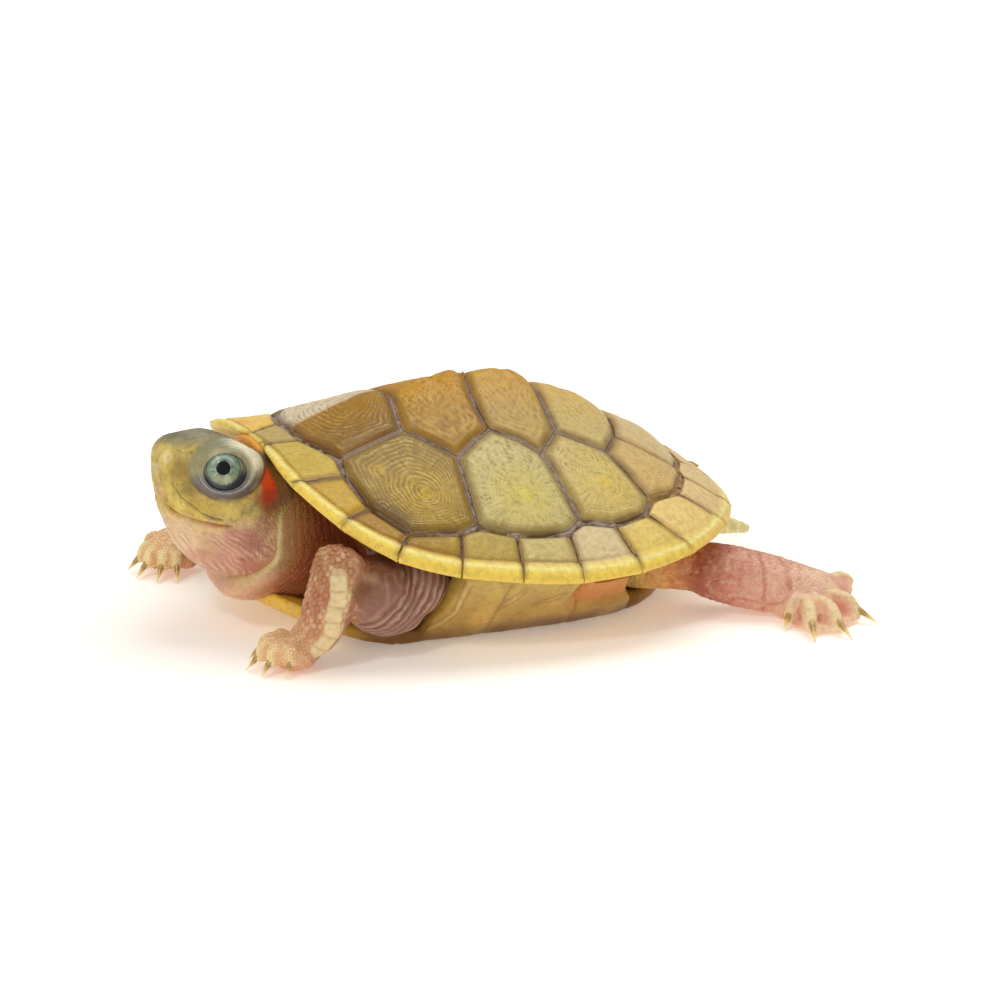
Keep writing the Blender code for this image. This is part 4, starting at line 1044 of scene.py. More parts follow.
face = {
    # lines on the left side, drawn on both: points, width, depth, colour, strength of the colour
    "lines": (
        ("mouth", ((0, -20.4, 8.7), (0.8, -20.25, 8.25), (1.48, -19.78, 7.79), (2.38, -18.98, 7.3),
                   (2.88, -18.27, 7.03), (3.27, -17.59, 6.8), (3.6, -16.9, 6.7)),
         0.1, 0.2, (160, 88, 36), 0.85),
        ("sheath", ((1.71, -19.9, 9.66), (1.95, -19.71, 9.11), (2.21, -19.45, 8.62), (2.56, -19.03, 8.24),
                    (2.89, -18.48, 7.66), (3.17, -17.97, 7.33), (3.52, -17.27, 7.1)),
         0.065, 0.09, (92, 74, 34), 0.95),
        ("beak", ((0.48, -20.25, 10.51), (0.82, -20.23, 9.8), (1.11, -20.07, 9.07), (1.2, -20.0, 8.7)),
         0.06, 0.06, (136, 110, 52), 0.85),
        ("beakEdge", ((0.2, -20.3, 9.5), (0.62, -20.3, 8.95), (0.8, -20.2, 8.4)),
         0.06, 0.04, (170, 120, 60), 0.6),
        ("underLip", ((0.5, -20.2, 7.75), (1.5, -19.6, 7.25), (2.5, -18.7, 6.75), (3.3, -17.4, 6.25)),
         0.1, -0.04, (232, 208, 150), 0.5),
        ("jawHinge", ((2.9, -16.6, 4.9), (3.25, -15.95, 4.35), (3.4, -15.4, 4.05), (3.5, -14.9, 3.95)),
         0.08, 0.1, (176, 74, 66), 0.8),
        ("squiggle", ((3.6, -17.1, 7.3), (3.75, -16.8, 7.0), (3.93, -16.45, 7.2), (4.0, -16.2, 6.9),
                      (4.1, -15.9, 6.9)),
         0.05, 0.05, (106, 88, 50), 0.75),
        ("squiggleHigh", ((3.95, -16.1, 7.7), (4.15, -15.7, 7.45), (4.3, -15.3, 7.6)),
         0.045, 0.04, (110, 96, 56), 0.7),
        ("cheek", ((4.05, -15.7, 7.0), (4.3, -15.2, 6.7), (4.4, -14.9, 6.9)), 0.05, 0.05, (140, 84, 66), 0.6),
        ("brow", ((0.92, -19.85, 11.79), (1.3, -19.1, 12.0), (1.65, -18.49, 11.98), (1.6, -17.62, 12.1)),
         0.07, 0.05, (98, 92, 70), 0.7),
        ("browLow", ((1.75, -19.45, 11.51), (2.05, -19.15, 11.35), (2.34, -18.85, 11.2)),
         0.08, 0.03, (132, 104, 60), 0.7),
    ),
    # spots on the left side: place, radius, colour, strength
    "spots": (
        # the two spots on this line brighten the snout's top: partly its own yellow and partly painted light
        ((1.0, -20.0, 11.2), 1.0, (216, 194, 98), 0.8), ((1.9, -19.6, 10.7), 0.6, (206, 184, 88), 0.7),
        ((0.5, -18.7, 12.3), 1.2, (108, 106, 84), 0.8), ((0.9, -17.6, 12.3), 1.1, (150, 146, 116), 0.7),
        ((0.2, -16.0, 12.3), 1.5, (118, 112, 84), 0.7), ((1.5, -19.3, 11.9), 0.45, (172, 162, 112), 0.7),
        # the pale cream spot at (1.3, -19.9, 11.1) is a painted highlight on the snout's top
        ((1.3, -19.9, 11.1), 0.5, (236, 224, 164), 0.7), ((2.0, -19.2, 11.2), 0.45, (196, 178, 116), 0.6),
        ((2.1, -19.3, 10.3), 0.8, (152, 126, 60), 0.85), ((2.5, -18.9, 9.3), 0.8, (150, 128, 58), 0.8),
        ((1.5, -19.9, 9.0), 0.6, (222, 200, 96), 0.75), ((1.9, -19.5, 8.3), 0.6, (232, 208, 104), 0.8),
        ((2.7, -18.6, 7.5), 0.5, (226, 200, 92), 0.8), ((3.3, -17.5, 7.0), 0.4, (222, 194, 92), 0.7),
        ((0.4, -20.3, 10.3), 0.5, (216, 204, 150), 0.5), ((0.5, -20.3, 8.9), 0.55, (224, 178, 120), 0.7),
        ((3.7, -16.95, 7.65), 0.6, (212, 192, 92), 0.75), ((3.5, -17.3, 7.7), 0.35, (206, 188, 94), 0.7),
        ((4.2, -15.6, 7.9), 0.5, (170, 150, 86), 0.6), ((4.05, -16.0, 8.2), 0.35, (206, 176, 74), 0.7),
        ((1.5, -19.0, 6.3), 1.1, (230, 202, 160), 0.7), ((2.9, -17.6, 5.9), 0.9, (212, 168, 140), 0.6),
        ((3.43, -16.7, 5.9), 0.8, (190, 128, 116), 0.7), ((3.83, -15.88, 5.81), 1.0, (172, 108, 94), 0.8),
        ((2.62, -16.83, 4.57), 1.0, (212, 152, 136), 0.6), ((2.85, -15.66, 4.15), 0.8, (196, 122, 108), 0.7),
        ((4.3, -15.0, 6.8), 0.7, (160, 104, 84), 0.7), ((4.5, -14.5, 8.0), 0.85, (136, 58, 28), 0.8),
        ((2.36, -18.7, 11.3), 0.14, (84, 28, 18), 0.9),
        ((3.9, -14.6, 10.5), 0.6, (96, 84, 56), 0.8),
    ),
    "redPatch": ((3.95, -14.75, 9.7), (4.3, -14.65, 9.1), (4.45, -14.75, 8.5)),
    "nostril": ((0.42, -20.3, 10.95), 0.17, 0.3),
    "foldPivot": (-21.8, 9.6), "foldStep": 0.042,  # slack folds under the jaw fan out from before the chin
}


def sculptHead(obj):
    places, normals = placesOf(obj), normalsOf(obj)
    left = sided(places)
    x, y, z = left.T
    height = np.zeros(len(places))
    ahead, up, out = eyeFrame(places)
    share = np.where(out > -1.3, lidShare(ahead, up), 9.0)
    offLid = smoothstep(0.9, 1.15, share)
    for name, points, width, depth, *_ in face["lines"]:
        gap, run = strokeGap(left, points)
        ends = smoothstep(0.0, 0.08, run) * smoothstep(1.0, 0.9, run) if name != "mouth" else 1.0
        height -= depth * bell(gap, 0, width) * ends
        height += depth * 0.4 * bell(gap, 2.4 * width, width) * ends * offLid
    mouthGap = strokeGap(left, face["lines"][0][1])[0]
    below = smoothstep(0.25, 0.9, mouthGap) * smoothstep(7.6, 6.4, z)
    warp = softNoise(places, 1.1, 51) * 0.5 + softNoise(places, 0.5, 52) * 0.25
    fan = np.arctan2(z - face["foldPivot"][1], y - face["foldPivot"][0])
    folds = wave(fan / face["foldStep"] + warp) * smoothstep(-0.5, 0.5, softNoise(places, 0.9, 53))
    height += 0.014 * folds * below
    creases = np.abs(softNoise(places * np.array((1, 1, 1.8)), 0.42, 54))
    height -= 0.025 * smoothstep(0.16, 0.0, creases) * offLid * smoothstep(11.4, 10.2, z) * (1 - below)
    height += 0.015 * softNoise(places, 0.28, 55) * offLid + 0.05 * softNoise(places, 1.3, 56) * offLid
    # long shallow creases over the crown
    crown = smoothstep(11.2, 11.8, z) * offLid
    height += 0.025 * crown * wave(x / 0.5 + 0.2 * y + 0.7 * warp)
    spot, radius, depth = face["nostril"]
    height -= depth * np.exp(-(lengthsOf(left - np.array(spot)) / radius) ** 4)
    ring = (share > 0.03) & (share < 1.0)
    ringWave = wave(share * 6.4 + 0.7 * softNoise(places, 1.3, 57) + 0.3 * softNoise(places, 0.4, 58))
    ringWave *= smoothstep(-0.7, 0.3, softNoise(places, 0.8, 59))
    height += np.where(ring, 0.012 * ringWave * smoothstep(0.08, 0.3, share), 0)
    movePlaces(obj, places + normals * height[:, None])
    setTint(obj, "skinTint", headTints(left, share, up, ahead, folds * below, creases, offLid, ringWave))
    setMask(obj, "wet", np.where(share < 0.16, 1.0, 0.0) * (out > 0))
    # no scales on the red patch behind the eye
    patch = strokeGap(left, face["redPatch"])[0]
    size = np.where(offLid * smoothstep(-16.6, -15.4, y) * smoothstep(4.2, 5.0, z) > 0.5, 0.2, 0)
    size = np.where(patch < 1.1, 0, size)
    size = np.where((z > 11.3) & (y > -17.2) & (offLid > 0.9), 0.24, size)
    angle = np.arctan2(z - 7, places[:, 0]) / (2 * pi) + 0.5
    return size, np.tile((0.0, 1.0, 0.0), (len(places), 1)), np.column_stack(
        (0.02 + 0.46 * angle, 0.52 + 0.46 * (y + 21) / 10))


def headTints(left, share, up, ahead, folds, creases, offLid, ringWave):
    y, z = left[:, 1], left[:, 2]
    tint = plainTint(left, 202, 174, 84)
    # yellow above the mouth, cream and pink below it, dull green over the crown
    soften(tint, (218, 184, 134), smoothstep(7.9, 7.0, z + 0.12 * (y + 19)))
    soften(tint, (206, 150, 126), 0.75 * smoothstep(6.4, 5.0, z) * smoothstep(-19.8, -18.4, y))
    soften(tint, (188, 164, 92), 0.7 * smoothstep(-18.2, -16.6, y) * smoothstep(6.6, 7.6, z))
    soften(tint, (150, 140, 96), smoothstep(11.4, 12.0, z))
    for place, radius, colour, strength in face["spots"]:
        gap = lengthsOf(left - np.array(place)) + 0.18 * softNoise(left, 0.5, 61) * radius
        soften(tint, colour, strength * smoothstep(1.25, 0.45, gap / radius))
    soften(tint, (196, 116, 102), 0.42 * smoothstep(0.0, -0.9, folds))
    soften(tint, (240, 216, 186), 0.36 * smoothstep(0.1, 0.9, folds))
    # brown streaks down the snout and olive squiggles on the cheek
    streak = softNoise(left * np.array((1.0, 1.0, 0.22)), 0.17, 64) * smoothstep(7.9, 8.8, z)
    streak = smoothstep(0.0, 0.35, streak) * smoothstep(11.7, 11.0, z) * smoothstep(-17.6, -18.4, y)
    soften(tint, (136, 112, 50), 0.34 * streak * offLid)
    squiggle = smoothstep(0.16, 0.03, np.abs(softNoise(left, 0.55, 62))) * offLid
    soften(tint, (116, 104, 60), 0.5 * squiggle * smoothstep(-17.4, -16.2, y) * smoothstep(6.2, 7.2, z))
    soften(tint, (150, 96, 60), 0.25 * smoothstep(0.14, 0.0, creases) * offLid)
    for _, points, width, _, colour, strength in face["lines"]:
        gap, run = strokeGap(left, points)
        fade = smoothstep(-0.01, 0.06, run) * smoothstep(1.01, 0.94, run)
        soften(tint, colour, strength * bell(gap, 0, width * 0.9) * fade)
    # the red patch behind the eye, brown at its foot
    patch = strokeGap(left, face["redPatch"])[0] + 0.12 * softNoise(left, 0.5, 65)
    onPatch = smoothstep(0.62, 0.36, patch)
    soften(tint, (140, 62, 28), 0.8 * smoothstep(1.2, 0.5, patch) * smoothstep(9.4, 8.2, z))
    soften(tint, (118, 80, 44), 0.9 * smoothstep(-14.6, -14.35, y) * smoothstep(7.0, 8.2, z))
    soften(tint, (206, 66, 16), onPatch)
    soften(tint, (228, 84, 22), 0.8 * onPatch * smoothstep(8.8, 9.6, z))
    soften(tint, (150, 50, 20), 0.8 * onPatch * smoothstep(9.1, 8.3, z))
    # the ring of lids: olive grey above, lilac grey below, with fine pale and dark rims
    low = smoothstep(0.15, -0.9, up)
    rear = smoothstep(0.3, -1.2, ahead)
    ringTint = plainTint(left, 160, 154, 110)
    soften(ringTint, (126, 126, 94), smoothstep(0.7, 1.6, up) * 0.8)
    soften(ringTint, (244, 236, 204), 0.95 * rear * smoothstep(-0.9, 0.2, up) * smoothstep(0.2, 0.5, share))
    soften(ringTint, (104, 98, 94), low * (1 - 0.6 * rear * smoothstep(-1.4, -0.6, up)))
    soften(ringTint, (196, 190, 156), 0.45 * smoothstep(0.2, 0.8, softNoise(left, 0.8, 63)))
    soften(ringTint, (118, 106, 82), 0.3 * smoothstep(0.1, -0.9, ringWave) * smoothstep(0.2, 0.4, share))
    soften(ringTint, (98, 98, 96), 0.8 * smoothstep(0.24, 0.1, share) * (0.25 + 0.75 * low))
    soften(ringTint, (208, 202, 194), 0.75 * bell(share, 0.34, 0.05) * low)
    soften(ringTint, (116, 106, 114), 0.6 * bell(share, 0.58, 0.09) * low)
    soften(ringTint, (118, 40, 30), 0.85 * bell(share, 0.97, 0.035) * rear * smoothstep(1.3, 0.6, up))
    # its outer edge melts into the snout and is sharp behind
    inRing = smoothstep(1.3, 0.9, share) * (1 - rear) + smoothstep(1.05, 0.98, share) * rear
    tint += inRing[:, None] * (ringTint - tint)
    soften(tint, (66, 60, 54), 0.5 * bell(share, 1.03, 0.03) * rear)
    soften(tint, (70, 70, 74), smoothstep(0.03, -0.02, share))
    return tint


def limbLine(limb):
    return np.array([row[:3] for row in (*limb["upper"], *limb["lower"][1:], limb["palm"])])


def limbWay(line, share):
    # the way down the limb at each share of its length
    lengths = np.concatenate(([0.0], np.cumsum(lengthsOf(np.diff(line, axis=0)))))
    shares = lengths / lengths[-1]
    after, before = (np.column_stack([np.interp(share + step, shares, column) for column in line.T])
                     for step in (0.05, -0.05))
    way = after - before
    return way / (lengthsOf(way)[:, None] + 1e-9)


hide = {
    # colours down a limb: share of its length, screen colour
    "front": ((0.0, (112, 66, 44)), (0.3, (134, 86, 62)), (0.5, (120, 72, 34)), (0.6, (170, 120, 76)),
              (0.8, (178, 116, 80)), (0.92, (212, 160, 116)), (1.0, (234, 192, 142))),
    "hind": ((0.0, (244, 156, 70)), (0.25, (255, 230, 128)), (0.42, (255, 186, 112)), (0.56, (182, 102, 80)),
             (0.72, (218, 152, 132)), (0.9, (240, 184, 160)), (1.0, (250, 208, 180))),
    "toe": (248, 226, 168), "crease": (186, 84, 66), "neckTop": (132, 98, 44), "neckSide": (158, 80, 32),
    "neckShade": (128, 60, 24), "neckLow": (214, 156, 112), "tail": (244, 232, 168),
    "bandLight": (232, 210, 160), "flap": (160, 104, 76), "heel": (226, 150, 122),
    "neckStep": 0.42, "pocketStep": 0.46, "kneeStep": 0.5, "tailStep": 0.5,  # from fold to fold
    "plates": 5.3,  # how many flat plates the forearm's band has
    # the size of scales: on the neck, its collar, the tail, the forearm, the forefoot and the hind leg
    "neckScale": 0.2, "collarScale": 0.17, "tailScale": 0.3, "armScale": 0.4, "footScale": 0.24,
    "legScale": 0.27,
    # for each kind of limb: size, depth and shade of its pebbles, and how pale its webs are
    "kinds": {"front": (0.46, 0.02, 0.15, 0.35), "hind": (0.4, 0.008, 0.12, 0.1)},
}


def rampTint(stops, share):
    rows = np.array([linear(*colour) for place, colour in stops])
    places = [place for place, colour in stops]
    return np.column_stack([np.interp(share, places, rows[:, k]) for k in range(3)])


def toeRidge(places, limb):
    # 1 along the tops of the toes, 0 between them
    gap = np.full(len(places), 9.0)
    for tip in limb["tips"]:
        spine = toeSpine(limb, tip)
        gap = np.minimum(gap, strokeGap(places * (1, 1, 0), [(*row[:2], 0) for row in spine[:4]])[0])
    return smoothstep(0.62, 0.2, gap)


def neckSkin(places, warp, height, tint):
    # fine folds that follow the collar, and a paler lip, with painted shade behind the collar and painted
    # shadow and light on its top; what it returns is the size of the scales
    x, y, z = places.T
    tilt = flesh["collarTilt"] * smoothstep(5.4, 2.6, z)
    behind = y + 15.0 - flesh["collarBack"] + tilt
    onNeck = smoothstep(-8.0, -9.5, y) * smoothstep(6.6, 5.6, np.abs(x))
    neckFold = wave(behind / hide["neckStep"] + warp)
    neckFold *= 0.35 + 0.65 * smoothstep(-0.5, 0.5, softNoise(places, 1.0, 73))
    height += (0.022 + 0.016 * smoothstep(5, 3, z)) * neckFold * onNeck * smoothstep(0.3, 1.0, behind)
    # painted shade: dark red-brown on the neck's side behind the collar
    soften(tint, hide["neckShade"], onNeck * smoothstep(1.0, 3.2, behind) * smoothstep(2.4, 4.2, z) * 0.92)
    soften(tint, (190, 106, 78), 0.6 * onNeck * smoothstep(0.2, -0.9, neckFold) * smoothstep(5, 3, z))
    lip = onNeck * smoothstep(1.6, 0.3, behind)
    edge = onNeck * smoothstep(0.36, 0.14, behind)
    soften(tint, (166, 128, 74), lip * 0.85 * smoothstep(10.8, 8.0, z))
    soften(tint, (226, 174, 138), lip * 0.9 * smoothstep(5.0, 3.6, z))
    soften(tint, (222, 198, 142), edge * 0.8 * smoothstep(10.4, 8.6, z) * smoothstep(2.4, 3.6, z))
    # painted shadow: dark grey-brown over the top of the collar
    soften(tint, (86, 70, 46), 0.8 * lip * smoothstep(9.0, 10.2, z))
    # painted light: bright orange at the middle of the collar's top, where the far rim's underside shines
    soften(tint, (255, 180, 70), 0.95 * lip * smoothstep(10.0, 10.4, z) * smoothstep(2.4, 1.2, x))
    height += 0.07 * onNeck * bell(behind, 0.1, 0.16)
    size = np.where((onNeck > 0.5) & (behind > 0.25) & (behind < 3.4) & (z > 4.2), hide["neckScale"], 0.0)
    return np.where((onNeck > 0.5) & (behind < 0.22) & (z > 7), hide["collarScale"], size)


def armSkin(places, normals, limb, side, run, onFoot, warp, own, height, tint):
    # folds of slack skin round the elbow, seen behind the forearm
    y, z = places[:, 1], places[:, 2]
    elbow = np.array(limb["lower"][1][:3]) + np.array((0.2 * side, 0.4, -1.0))
    ring = lengthsOf((places - elbow) * np.array((1, 0.9, 1)))
    bare = smoothstep(0.6, 0.52, run)
    inPocket = bare * smoothstep(1.5, 2.1, ring)
    fold = wave(ring / hide["pocketStep"] + 0.7 * warp)
    fold *= 0.4 + 0.6 * smoothstep(-0.5, 0.3, softNoise(places, 0.9, 82))
    slack = inPocket * smoothstep(2.3, 3.6, ring)
    vein = smoothstep(0.12, 0.0, np.abs(softNoise(places, 1.1, 84))) * inPocket * (1 - slack)
    lumps = 0.025 * softNoise(places, 0.45, 77) * inPocket
    height += own * (0.06 * fold * slack + lumps - 0.03 * vein)
    soften(tint, (142, 98, 80), 0.8 * inPocket)
    soften(tint, (200, 168, 152), 0.65 * slack * smoothstep(-0.1, 0.8, fold))
    soften(tint, (118, 72, 58), 0.6 * slack * smoothstep(0.0, -0.9, fold))
    soften(tint, (186, 148, 132), 0.5 * vein)
    # painted shadow of the shell's rim: dark brown over the top of the bare upper arm
    soften(tint, (112, 60, 34), 0.7 * bare * smoothstep(5.2, 6.8, z))
    bandGap, bandRun = strokeGap(places, limb["band"])
    onBand = smoothstep(0.62, 0.4, bandGap)
    behindBand = smoothstep(0.1, 0.5, normals[:, 1]) * (run > 0.55) * (1 - onFoot)
    soften(tint, hide["flap"], 0.8 * behindBand)
    # the cream band down the forearm: broad flat plates with a bright ridge behind them
    bandRun = bandRun * hide["plates"]
    plate = bell(bandRun - np.round(bandRun), 0, 0.07) * onBand
    ridgeLine = np.array(limb["band"]) + (0, 0.52, 0)
    bright = bell(strokeGap(places, ridgeLine)[0], 0, 0.2)
    soften(tint, hide["bandLight"], 0.9 * onBand)
    soften(tint, (202, 168, 118), 0.7 * plate)
    soften(tint, (240, 226, 164), 0.9 * bright)
    height += own * (0.10 * onBand - 0.07 * plate + 0.1 * bright)
    behindArm = (run < 0.9) & (y > np.where(z < 5.5, -12.5, -11.9))
    smooth = (onBand > 0.2) | (behindBand > 0.3) | behindArm | ((run < 0.57) & (normals[:, 1] > -0.2))
    return bare, onBand, np.where(smooth, 0, np.where(run > 0.9, hide["footScale"], hide["armScale"]))


def legSkin(places, limb, run, toes, warp, own, height, tint):
    # folds that fan out from the knee, and creases down to the foot
    knee = np.array(limb["lower"][0][:3])
    ring = lengthsOf(places - knee)
    fold = wave(ring / hide["kneeStep"] + 1.3 * warp)
    fold *= smoothstep(-0.4, 0.5, softNoise(places, 0.8, 78))
    inFold = smoothstep(0.2, 0.4, run) * smoothstep(0.99, 0.9, run)
    height += own * inFold * 0.02 * fold
    soften(tint, (176, 92, 78), 0.3 * inFold * smoothstep(0.0, -0.9, fold))
    crease = smoothstep(0.18, 0.02, np.abs(softNoise(places, 1.5, 83)))
    soften(tint, (176, 84, 78), 0.45 * smoothstep(0.35, 0.5, run) * crease * (1 - toes))
    height -= own * 0.03 * crease * smoothstep(0.35, 0.5, run) * (1 - toes)
    return smoothstep(0.32, 0.22, run), 0, hide["legScale"]


def sculptBody(obj):
    places, normals = placesOf(obj), normalsOf(obj)
    x, y, z = places.T
    height = np.zeros(len(places))
    way = np.tile((0.0, 1.0, 0.0), (len(places), 1))
    angle = np.arctan2(z - 5, x) / (2 * pi) + 0.5
    unwrap = np.column_stack((0.02 + 0.46 * angle, 0.02 + 0.46 * (y + 21) / 43))
    tint = rampTint(((0.0, hide["neckLow"]), (0.3, hide["neckSide"]), (1.0, hide["neckTop"])),
                    (z - 2.0) / 9.0)
    warp = softNoise(places, 1.2, 71) * 0.5 + softNoise(places, 0.5, 72) * 0.25
    size = neckSkin(places, warp, height, tint)
    for number, (name, limb) in enumerate(limbs.items()):
        kind = name.split("_")[0]
        cellSize, cellDepth, cellShade, webPale = hide["kinds"][kind]
        line = limbLine(limb)
        gap, run = strokeGap(places, line)
        side = 1 if "left" in name else -1
        palm = np.array(limb["palm"])
        far = np.hypot(x - palm[0], y - palm[1])
        mine = ((gap < 4.2) | ((far < 6.6) & (z < 2.2))) & (x * side > 4.4)
        mine &= (y < -2) if kind == "front" else (y > 4)
        if kind == "front":
            mine &= (np.abs(x) > 5.9) | (y > -8)
        own = np.where(mine, smoothstep(4.4, 5.6, np.abs(x)), 0.0)
        limbTint = rampTint(hide[kind], run)
        soften(limbTint, (178, 100, 74), 0.15 * smoothstep(0.1, 0.7, softNoise(places, 0.9, 75)))
        soften(limbTint, (236, 204, 160), 0.3 * smoothstep(0.1, 0.7, softNoise(places, 0.7, 76)))
        onFoot = smoothstep(0.9, 1.0, run)
        toes = smoothstep(1.2, 2.4, far) * onFoot
        ridge = toeRidge(places, limb)
        soften(limbTint, hide["toe"], toes * (webPale + 0.65 * ridge))
        soften(limbTint, (214, 130, 100), 0.6 * toes * (1 - ridge) * smoothstep(4.2, 2.8, far))
        height -= 0.14 * own * toes * (1 - ridge) * smoothstep(0.5, 0.9, z)
        heel = onFoot * smoothstep(0.9, 0.4, z) * smoothstep(2.4, 1.6, far)
        soften(limbTint, hide["heel"], 0.8 * heel)
        if kind == "front":
            bare, onBand, grown = armSkin(
                places, normals, limb, side, run, onFoot, warp, own, height, limbTint)
        else:
            bare, onBand, grown = legSkin(places, limb, run, toes, warp, own, height, limbTint)
        scaly = (1 - toes) * (1 - bare) * (1 - onBand)
        cell, nextCell, cellOwner = cellsOf(places, cellSize, 79)
        pebble = smoothstep(0.02, 0.34, nextCell - cell)
        height += own * scaly * cellDepth * (pebble - 0.5)
        soften(limbTint, hide["crease"], cellShade * scaly * (1 - pebble))
        soften(limbTint, (236, 212, 170), 0.25 * scaly * pebble * (cellOwner > 0.5))
        tint += own[:, None] * (limbTint - tint)
        onTop = own * (bare < 0.5) * (z > 0.5) * (ridge + (toes < 0.3) > 0.4)
        size = np.where(onTop > 0.5, grown * (1 - 0.35 * toes), np.where(own > 0.3, 0, size))
        way = np.where(own[:, None] > 0.3, limbWay(line, run), way)
        towards = (places - palm) * (1, 1, 0)
        towards /= lengthsOf(towards)[:, None] + 1e-9
        way = np.where((own * toes > 0.3)[:, None], towards, way)
        around = np.arctan2(z - 2, (y - palm[1]) * 0.7 - (x - palm[0]) * 0.7 * side)
        limbMap = np.column_stack((
            0.52 + 0.24 * (number % 2) + 0.22 * (around / (2 * pi) + 0.5),
            0.02 + 0.24 * (number // 2) + 0.2 * (0.6 * run + 0.4 * np.clip(far / 6, 0, 1))))
        unwrap = np.where(own[:, None] > 0.3, limbMap, unwrap)
    onTail = smoothstep(12.5, 13.5, y) * smoothstep(2.6, 2.0, np.abs(x))
    height += 0.012 * onTail * wave(y / hide["tailStep"] + 0.3 * warp)
    soften(tint, hide["tail"], onTail)
    size = np.where(onTail > 0.5, hide["tailScale"], size)
    height += 0.012 * softNoise(places, 0.3, 80) + 0.03 * softNoise(places, 1.1, 81)
    places = places + normals * height[:, None]
    places[:, 2] = np.maximum(places[:, 2], 0.005)
    movePlaces(obj, places)
    setTint(obj, "skinTint", tint)
    setMask(obj, "wet", np.zeros(len(places)))
    return size, way, unwrap


shapeLids(head)
headHide = sculptHead(head)
bodyHide = sculptBody(body)
print("skin sculpted and tinted")


def eyeTints(places, reach):
    # grey-green iris with darker spokes and flecks, a dark rim, olive round it that turns slate below
    x, y = places[:, 0], places[:, 1]
    angle = np.arctan2(y, x)
    around = np.column_stack((np.cos(angle) * 4.5, np.sin(angle) * 4.5, reach * 1.6))
    spoke = softNoise(around, 1.0, 91) * 0.6 + softNoise(around * 2.3, 1.0, 92) * 0.4
    fleck = softNoise(places * 7.0, 1.0, 93)
    tint = plainTint(places, 122, 142, 120)
    soften(tint, (176, 192, 166), 0.8 * smoothstep(0.1, 0.7, spoke))
    soften(tint, (86, 108, 96), 0.7 * smoothstep(0.0, -0.6, spoke))
    soften(tint, (36, 66, 76), 0.85 * smoothstep(0.25, 0.7, fleck) * bell(reach, 0.5, 0.14))
    soften(tint, (176, 176, 126), 0.7 * smoothstep(-0.2, -0.8, y) * smoothstep(1.08, 0.6, reach))
    soften(tint, (208, 216, 200), 0.5 * bell(reach, 0.66, 0.1) * smoothstep(0, 0.5, y))
    rim = eyes["iris"]
    soften(tint, (40, 50, 46), 0.9 * bell(reach, rim, 0.04))
    outside = smoothstep(rim, rim + 0.05, reach)
    soften(tint, (136, 140, 104), outside)
    soften(tint, (54, 58, 70), outside * smoothstep(0.1, -0.6, y))
    soften(tint, (46, 48, 44), 0.7 * bell(reach - rim, 0.17, 0.03) * smoothstep(-0.5, 0.2, -x))
    return tint


def makeEye(side):
    deselectAll()
    bpy.ops.mesh.primitive_uv_sphere_add(segments=128, ring_count=96, radius=eyes["radius"])
    ball = bpy.context.object
    ball.name = "eye_ball_" + side
    # turned so that its pole is the pupil, which stands out a little as the cornea does
    turn = Matrix((eyeAhead, eyeUp, eyeAxis)).transposed()
    places = placesOf(ball)
    reach = np.hypot(places[:, 0], places[:, 1])
    reach = np.where(places[:, 2] > 0, reach, 3.0)
    places *= 1 + (eyes["cornea"] / eyes["radius"] * np.exp(-(reach / 0.95) ** 4))[:, None]
    setMask(ball, "pupilReach", reach)
    setTint(ball, "eyeTint", eyeTints(places, reach))
    hiddenShare = np.maximum(smoothstep(1.4, 1.8, reach), smoothstep(1.0, 0.3, places[:, 2]))
    places *= (1 - 0.2 * hiddenShare)[:, None]
    placed = places @ np.array(turn).T + np.array(eyes["centre"])
    if side == "right":
        placed[:, 0] *= -1
    movePlaces(ball, placed)
    if side == "right":
        ball.data.flip_normals()
    ball.data.transform(headTurn)
    return ball


def makeClaws(name):
    limb = limbs[name]
    claws = []
    # the fifth toe of a hind foot bears no claw
    tips = limb["tips"][:4 if name.startswith("hind") else 5]
    for tip in tips:
        spine = toeSpine(limb, tip)
        start = Vector(spine[1][:3]).lerp(Vector(spine[2][:3]), 0.75)
        x, y, z = spine[3][:3]
        rows = ((*start, 0.22), (*spine[2][:3], 0.27), (x, y, z + 0.12, 0.23), (*spine[4][:3], 0.03))
        claws.append(tubeOf("claw", rows, 22, 16, False))
    joined = joinPieces(claws, "claws_" + name)
    places = placesOf(joined)
    places[:, 2] = np.maximum(places[:, 2], 0.01)
    movePlaces(joined, places)
    # how far each point is from its claw's root, 0 to 1
    run = np.zeros(len(places))
    for tip in tips:
        spine = toeSpine(limb, tip)
        gap, share = strokeGap(places, [spine[2][:3], spine[3][:3], spine[4][:3]])
        run = np.where(gap < 0.5, share, run)
    setMask(joined, "clawRun", run)
    return joined


belly = {
    "bevel": 0.18, "voxel": 0.14, "smoothing": 4,
    "hollow": 1.0,  # how far the flank sinks before the hind leg
    "rows": (-12.5, -8.0, -2.5, 3.0, 7.5),  # where the seams cross the underside
    # pale raised seams on the left flank
    "seams": (
        ((12.9, -4.95, 5.2), (12.38, -5.07, 4.39), (11.5, -5.06, 3.4), (10.76, -5.06, 2.52),
         (9.84, -5.74, 1.57), (8.69, -7.24, 0.39)),
        ((13.4, -1.3, 4.9), (12.6, -1.6, 3.9), (11.4, -2.6, 2.2), (10.0, -3.2, 0.7)),
        ((13.3, 1.6, 4.6), (12.3, 0.9, 3.2), (11.5, -1.0, 2.0), (10.4, -2.6, 0.9)),
        ((8.6, 5.6, 0.4), (9.8, 4.6, 0.9), (10.6, 3.6, 1.1), (10.9, 2.4, 1.0)),
    ),
}


